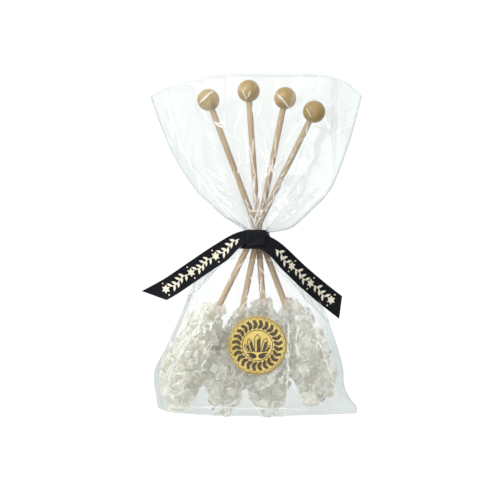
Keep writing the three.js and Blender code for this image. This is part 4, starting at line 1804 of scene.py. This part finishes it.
@dataclass
class RoundLabel:
    """A round foil sticker with a pressed rim, printed with a wreath, dots and a cluster of crystals."""

    thickness: float = 0.3
    waviness: float = 0.1
    steps: int = 96
    rim_ring: float = 14.2

    def build(self) -> list[Object]:
        """Makes the label and its print."""
        return [self.paper(), self.artwork()]

    def top(self, x: float, y: float) -> float:
        """The height of the label's face at a place measured from its middle."""
        wave = noise.noise(Vector((x / 11, y / 11, 4.2)))
        return LABEL_Z + self.thickness + self.waviness * (wave - 0.3)

    def paper(self) -> Object:
        """Presses the sticker.

        Returns:
            The label.
        """
        radii = [0, *np.linspace(1.5, LABEL_RADIUS - 0.9, 10)]
        face = [(radius, self.thickness) for radius in radii]
        rim = [
            (LABEL_RADIUS - 0.7, self.thickness - 0.03), (LABEL_RADIUS - 0.5, self.thickness),
            (LABEL_RADIUS - 0.08, self.thickness - 0.02), (LABEL_RADIUS, self.thickness - 0.1),
            (LABEL_RADIUS, 0.0), (0.0, 0.0),
        ]
        made = lathe([*face, *rim], self.steps)
        for vertex in made.verts:
            x, y, z = vertex.co
            lift = self.top(x, y) - self.thickness
            vertex.co = (x + LABEL_CENTRE[0], y + LABEL_CENTRE[1], z + lift)
        return add_piece("label_paper", made, Finish.FOIL, ["label"])

    def artwork(self) -> Object:
        """Prints the label's ornament.

        Returns:
            The print.
        """
        sheet = PrintSheet()
        sheet.ring(self.rim_ring, 0.36)
        sheet.ring(7.6, 0.36)
        for i in range(72):
            sheet.dot(on_circle(13.35, math.tau * i / 72), 0.38 if i % 3 == 0 else 0.24, 8)
        self.wreath(sheet)
        self.crystals(sheet)
        made = sheet.laid(lambda x, y, z: (x + LABEL_CENTRE[0], y + LABEL_CENTRE[1], self.top(x, y) + z + 0.01))
        return add_piece("label_print", made, Finish.LABEL_INK, smooth=False)

    @staticmethod
    def wreath(sheet: PrintSheet) -> None:
        """Prints a wreath of paired leaves on a ring of stem, with berries between them.

        Args:
            sheet: The sheet that it is printed on.
        """
        sheet.ring(10.3, 0.3)
        for i in range(24):
            turn = math.tau * i / 24
            foot = on_circle(10.3, turn)
            for side in (-1, 1):
                sheet.leaf(foot, turn + math.pi / 2 - side * 0.72, 3.3 + 0.2 * side, 1.8)
            for radius, shift, size in ((8.4, 0.18, 0.42), (12.6, 0.1, 0.36)):
                sheet.dot(on_circle(radius, turn + shift), size, 8)

    @staticmethod
    def crystals(sheet: PrintSheet) -> None:
        """Prints a cluster of standing crystals, each in outline with a shaded face, over a spray of leaves.

        Args:
            sheet: The sheet that they are printed on.
        """
        for x, foot, width, height, lean in (
            (0.0, -3.2, 2.7, 8.8, 0.0), (-2.5, -3.0, 2.1, 6.6, -0.3), (2.5, -3.0, 2.1, 7.0, 0.3),
            (-4.2, -2.7, 1.5, 3.8, -0.62), (4.2, -2.7, 1.5, 3.5, 0.62),
        ):
            cos, sin = math.cos(lean), math.sin(lean)
            half = width / 2
            flat = [(-half, 0), (half, 0), (half, height * 0.8), (0, height), (-half, height * 0.8), (-half, 0)]
            outline = [(x + a * cos + b * sin, foot - a * sin + b * cos) for a, b in flat]
            for start, end in zip(outline, outline[1:]):
                sheet.stroke([start, end], 0.4)
            shade = [(-half * 0.25, 0), (half, 0), (half, height * 0.8), (-half * 0.25, height * 0.66)]
            sheet.outline([(x + a * cos + b * sin, foot - a * sin + b * cos) for a, b in shade])
        for side in (-1, 1):
            for i in range(4):
                sheet.leaf((side * 0.4, -5.0), math.pi / 2 - side * (1.35 + 0.3 * i), 5.4 - 0.9 * i, 1.4)


# ---------------------------------------------------------------- ribbon


@dataclass(frozen=True)
class Tail:
    """One tail of the ribbon.

    It has its path from the knot, how much longer its upper edge is, its roll in radians, and how much of its lower
    edge is drawn into the knot.
    """

    name: str
    path: tuple[tuple[float, float, float], ...]
    slant: float
    roll: float
    drawn_in: float
    print_from: float
    print_to: float


@dataclass
class TiedRibbon:
    """A flat satin ribbon tied round the neck: the turn, the knot over its front, and two tails with cream print."""

    width: float = 10.0
    thickness: float = 0.3
    top: float = 6.5
    bottom: float = -1.9
    stand_off: float = 0.45
    foot_stand_off: float = 2.7
    knot_centre: tuple[float, float, float] = (2.3, 3.5, 23.2)
    knot_size: tuple[float, float, float] = (10.4, 8.2, 2.6)
    tail_steps: int = 150
    tail_columns: int = 22
    tails: tuple[Tail, ...] = (
        Tail(
            "ribbon_tail_left",
            (
                (0.5, 3.1, 23.2), (-7, 1, 22.6), (-17, -4.8, 19.2), (-29, -12.8, 10.8), (-41, -20.9, 3),
                (-53, -27.5, 0.6),
            ),
            9, 0, 3.6, 6.5, 58,
        ),
        Tail(
            "ribbon_tail_right",
            ((3, 1.5, 23), (9.2, -1.6, 22.4), (14.5, -5.6, 20.6), (24.5, -15, 13.6), (35, -24, 5.2), (46.7, -33, 1.7)),
            -5.6, -0.35, 2.2, 9.5, 54,
        ),
    )

    def build(self) -> list[Object]:
        """Makes the ribbon's pieces and their print.

        Returns:
            The pieces.
        """
        made = [self.turn(), self.knot()]
        for tail in self.tails:
            made += [self.tail(tail), self.ornament(tail)]
        return made

    def turn(self) -> Object:
        """Wraps the turn round the neck, pulled into shallow folds.

        Returns:
            The turn.
        """
        rows, columns = 18, 160
        height = np.linspace(0, 1, rows)[:, None]
        angle = np.linspace(0, math.tau, columns + 1)[None, :]
        ripple = 0.12 * np.sin(height * 17 + 1.5 * np.sin(angle * 2)) * np.sin(math.pi * height)
        stand_off = mix(self.foot_stand_off, self.stand_off, height) + 0.12 + ripple
        half_width = (NECK_RIGHT - NECK_LEFT) / 2 + stand_off
        half_height = (NECK_FRONT - NECK_BACK) / 2 + self.stand_off + 0.12 + ripple
        points = np.zeros((rows, columns + 1, 3))
        points[..., 0] = NECK_MIDDLE + signed_power(np.cos(angle), 0.5) * half_width
        points[..., 1] = mix(self.bottom, self.top, height)
        points[..., 2] = (NECK_BACK + NECK_FRONT) / 2 + signed_power(np.sin(angle), 0.5) * half_height
        made = sheet_mesh(points)
        layer = made.verts.layers.float_vector.new("cloth")
        for vertex in made.verts:
            vertex[layer] = (vertex.co.x + vertex.co.z, vertex.co.y, 0)
        return add_piece("ribbon_turn", made, Finish.SATIN, ["ribbon"], wall=self.thickness)

    def knot(self) -> Object:
        """Forms the flattened knot: a soft block with two tucks across its face.

        Returns:
            The knot.
        """
        made = bmesh.new()
        bmesh.ops.create_uvsphere(made, u_segments=64, v_segments=48, radius=1.0)
        half = Vector(self.knot_size) / 2
        tucks = (((-5, -1.0), (5.2, 1.6), 0.5), ((-5, -3.2), (3.5, -0.9), 0.35), ((-2, 4), (5, 2.9), 0.3))
        layer = made.verts.layers.float_vector.new("cloth")
        for vertex in made.verts:
            x, y, z = (float(signed_power(c, p)) * size for c, p, size in zip(vertex.co, (0.26, 0.22, 0.7), half))
            if z > 0:
                for start, end, depth in tucks:
                    run = Vector(end) - Vector(start)
                    offset = Vector((x, y)) - Vector(start)
                    gap = abs(run.x * offset.y - run.y * offset.x) / run.length
                    z -= depth * max(0, 1 - gap / 0.8)
            vertex[layer] = (x, y, 0)
            vertex.co = Vector((x, y, z)) + Vector(self.knot_centre)
        return add_piece("ribbon_knot", made, Finish.SATIN, ["ribbon"])

    def strip_place(self, tail: Tail) -> tuple[Callable[[float, float, float], Vector], float]:
        """How a tail's cloth lies.

        Args:
            tail: The tail.

        Returns:
            The place for a distance along the tail, a distance across it and a height above it; and the tail's length.
        """
        curve = RowsCurve(tail.path)
        fine = curve.at(np.linspace(0, 1, 400))
        run = np.concatenate([[0], np.cumsum(np.linalg.norm(np.diff(fine, axis=0), axis=1))])
        length = float(run[-1])

        def place(along: float, across: float, lift: float) -> Vector:
            """The place of one point of the cloth.

            Args:
                along: Its distance from the knot.
                across: Its distance from the middle of the cloth.
                lift: Its height above the cloth.

            Returns:
                The place in the pack.
            """
            t = float(np.interp(along, run, np.linspace(0, 1, 400)))
            drawn = tail.drawn_in * float(1 - smooth_between(2, 19, along)) / self.width
            across = mix(across, self.width / 2, drawn)
            before, here, after = (Vector(curve.at(min(1, max(0, t + d)))) for d in (-0.01, 0, 0.01))
            ahead = (after - before).normalized()
            side = Vector((-ahead.y, ahead.x, 0)).normalized()
            if side.y < 0:
                side.negate()
            side = Matrix.Rotation(tail.roll * math.sin(math.pi * t), 3, ahead) @ side
            normal = ahead.cross(side)
            if normal.z < 0:
                normal.negate()
            wave = 0.22 * math.sin(along / 6.5 + across / 4) * math.sin(math.pi * t)
            curl = 0.012 * across**2
            return here + side * across + normal * (lift + wave + curl)

        return place, length

    def tail(self, tail: Tail) -> Object:
        """Lays a tail, with woven edges and its end cut on a slant.

        Args:
            tail: The tail.

        Returns:
            The tail's piece.
        """
        place, length = self.strip_place(tail)
        points = np.zeros((self.tail_steps + 1, self.tail_columns + 1, 3))
        cloth = np.zeros_like(points)
        for row, column in np.ndindex(points.shape[:2]):
            across = mix(-self.width / 2, self.width / 2, column / self.tail_columns)
            reach = length + tail.slant * across / self.width - abs(tail.slant) / 2
            along = row / self.tail_steps * reach
            selvedge = 0.08 if abs(across) > self.width / 2 - 0.5 else 0.0
            points[row, column] = place(along, across, selvedge)
            cloth[row, column] = (along, across, 0)
        made = sheet_mesh(points, {"cloth": cloth})
        return add_piece(tail.name, made, Finish.SATIN, ["ribbon"], wall=self.thickness)

    def ornament(self, tail: Tail) -> Object:
        """Prints sprigs of leaves in a row, with a small flower after each.

        Args:
            tail: The tail.

        Returns:
            The print.
        """
        place, _ = self.strip_place(tail)
        sheet = PrintSheet()
        sprigs = 3
        pitch = (tail.print_to - tail.print_from) / sprigs
        for number in range(sprigs):
            start = tail.print_from + number * pitch
            end = start + pitch - 5.4
            sheet.stroke([(mix(start, end, i / 20), 0.7 * math.sin(i / 20 * math.tau)) for i in range(21)], 0.5)
            count = round((end - start) / 1.5)
            for i in range(count):
                part = (i + 0.5) / count
                side = 1 if i % 2 else -1
                foot = (mix(start, end, part), 0.7 * math.sin(part * math.tau))
                sheet.leaf(foot, side * 0.9, 3.2, 1.35)
            flower = (end + 3.0, 0.0)
            for i in range(6):
                sheet.leaf(flower, math.tau * i / 6, 2.3, 1.25)
            for side in (-1, 1):
                sheet.dot((flower[0], side * 3.3), 0.4)
        proud = self.thickness + 0.02
        made = sheet.laid(lambda along, across, lift: place(along, across, lift + proud))
        return add_piece(f"{tail.name}_print", made, Finish.RIBBON_INK, smooth=False)


# ---------------------------------------------------------------- studio


@dataclass
class Studio:
    """A white sweep under a broad soft sky that is brightest at the upper left, and a camera straight above."""

    view_width: float = 0.25
    view_centre: tuple[float, float] = (-0.00095, -0.0025)
    middle_height: float = 0.015
    sensor: float = 36.0
    lens: float = 400.0
    key: tuple[float, float, float] = (-0.56, 0.52, 0.64)
    floor_size: float = 6.0
    floor_drop: float = 0.00005  # how far the floor lies below the pack
    sky_tones: tuple = ((0.0, (0.14, 0.14, 0.15, 1)), (0.5, (0.7, 0.7, 0.7, 1)), (1.0, (1.3, 1.3, 1.29, 1)))
    sky_strength: float = 1.52

    def build(self) -> None:
        """Makes the floor, the light and the camera."""
        self.floor()
        self.sky()
        self.sun("key", 1.6, 60.0)
        self.sun("glint", 0.6, 4.0)
        self.camera()
        bpy.context.scene.view_settings.view_transform = "Standard"
        cycles = bpy.context.scene.cycles
        cycles.transparent_max_bounces = 24
        cycles.max_bounces = 24
        cycles.transmission_bounces = 24
        cycles.glossy_bounces = 16
        cycles.diffuse_bounces = 8

    def floor(self) -> None:
        """Lays the white sweep."""
        made = bmesh.new()
        bmesh.ops.create_grid(made, x_segments=2, y_segments=2, size=self.floor_size / 2)
        bmesh.ops.translate(made, vec=(0, 0, -self.floor_drop), verts=made.verts)
        mesh = new_mesh("floor", made)
        mesh.materials.append(Finish.STUDIO.value.material())
        floor = bpy.data.objects.new("floor", mesh)
        bpy.context.scene.collection.objects.link(floor)

    def sky(self) -> None:
        """Lights the scene from all round, brighter from the upper left and dimmer towards the lower right."""
        world = bpy.data.worlds.new("soft sky")
        bpy.context.scene.world = world
        world.use_nodes = True
        tree = world.node_tree
        tree.nodes.clear()
        heading = add_node(tree, "TexCoord", out="Generated")
        inputs = {0: heading, 1: Vector(self.key).normalized()}
        towards = add_node(tree, "VectorMath", inputs, "Value", operation="DOT_PRODUCT")
        part = add_node(tree, "MapRange", {"Value": towards, "From Min": -0.8, "From Max": 1.0})
        colour = add_node(tree, "ValToRGB", {"Fac": part}, stops=self.sky_tones)
        light = add_node(tree, "Background", {"Color": colour, "Strength": self.sky_strength})
        add_node(tree, "OutputWorld", {"Surface": light})

    def sun(self, name: str, strength: float, angle: float) -> None:
        """Adds a distant light from the upper left.

        Args:
            name: Its name.
            strength: Its strength in watts for each square metre.
            angle: How wide it looks, in degrees.
        """
        light = bpy.data.lights.new(name, "SUN")
        light.energy = strength
        light.angle = math.radians(angle)
        lamp = bpy.data.objects.new(name, light)
        lamp.rotation_euler = Vector(self.key).to_track_quat("Z", "Y").to_euler()
        bpy.context.scene.collection.objects.link(lamp)

    def camera(self) -> None:
        """Hangs the camera straight above the pack."""
        data = bpy.data.cameras.new("camera")
        data.sensor_width = self.sensor
        data.lens = self.lens
        data.clip_end = 20.0
        camera = bpy.data.objects.new("camera", data)
        distance = self.view_width * self.lens / self.sensor
        camera.location = (*self.view_centre, self.middle_height + distance)
        bpy.context.scene.collection.objects.link(camera)
        bpy.context.scene.camera = camera


def main() -> None:
    """Builds the pack from the inside out, and then the studio."""
    logging.basicConfig(level=logging.INFO, format="%(message)s")
    Studio().build()
    for number, stick in enumerate(STICKS, 1):
        WoodenStick(stick, number).build()
    kit = CrystalKit()
    kit.build()
    candies = [RockCandy(stick, number, kit).build() for number, stick in enumerate(STICKS, 1)]
    kit.clear()
    label = RoundLabel().build()
    ribbon = TiedRibbon().build()
    ShutPouch().build(candies, label + ribbon)
    OpenMouth().build()


if __name__ == "__main__":
    main()
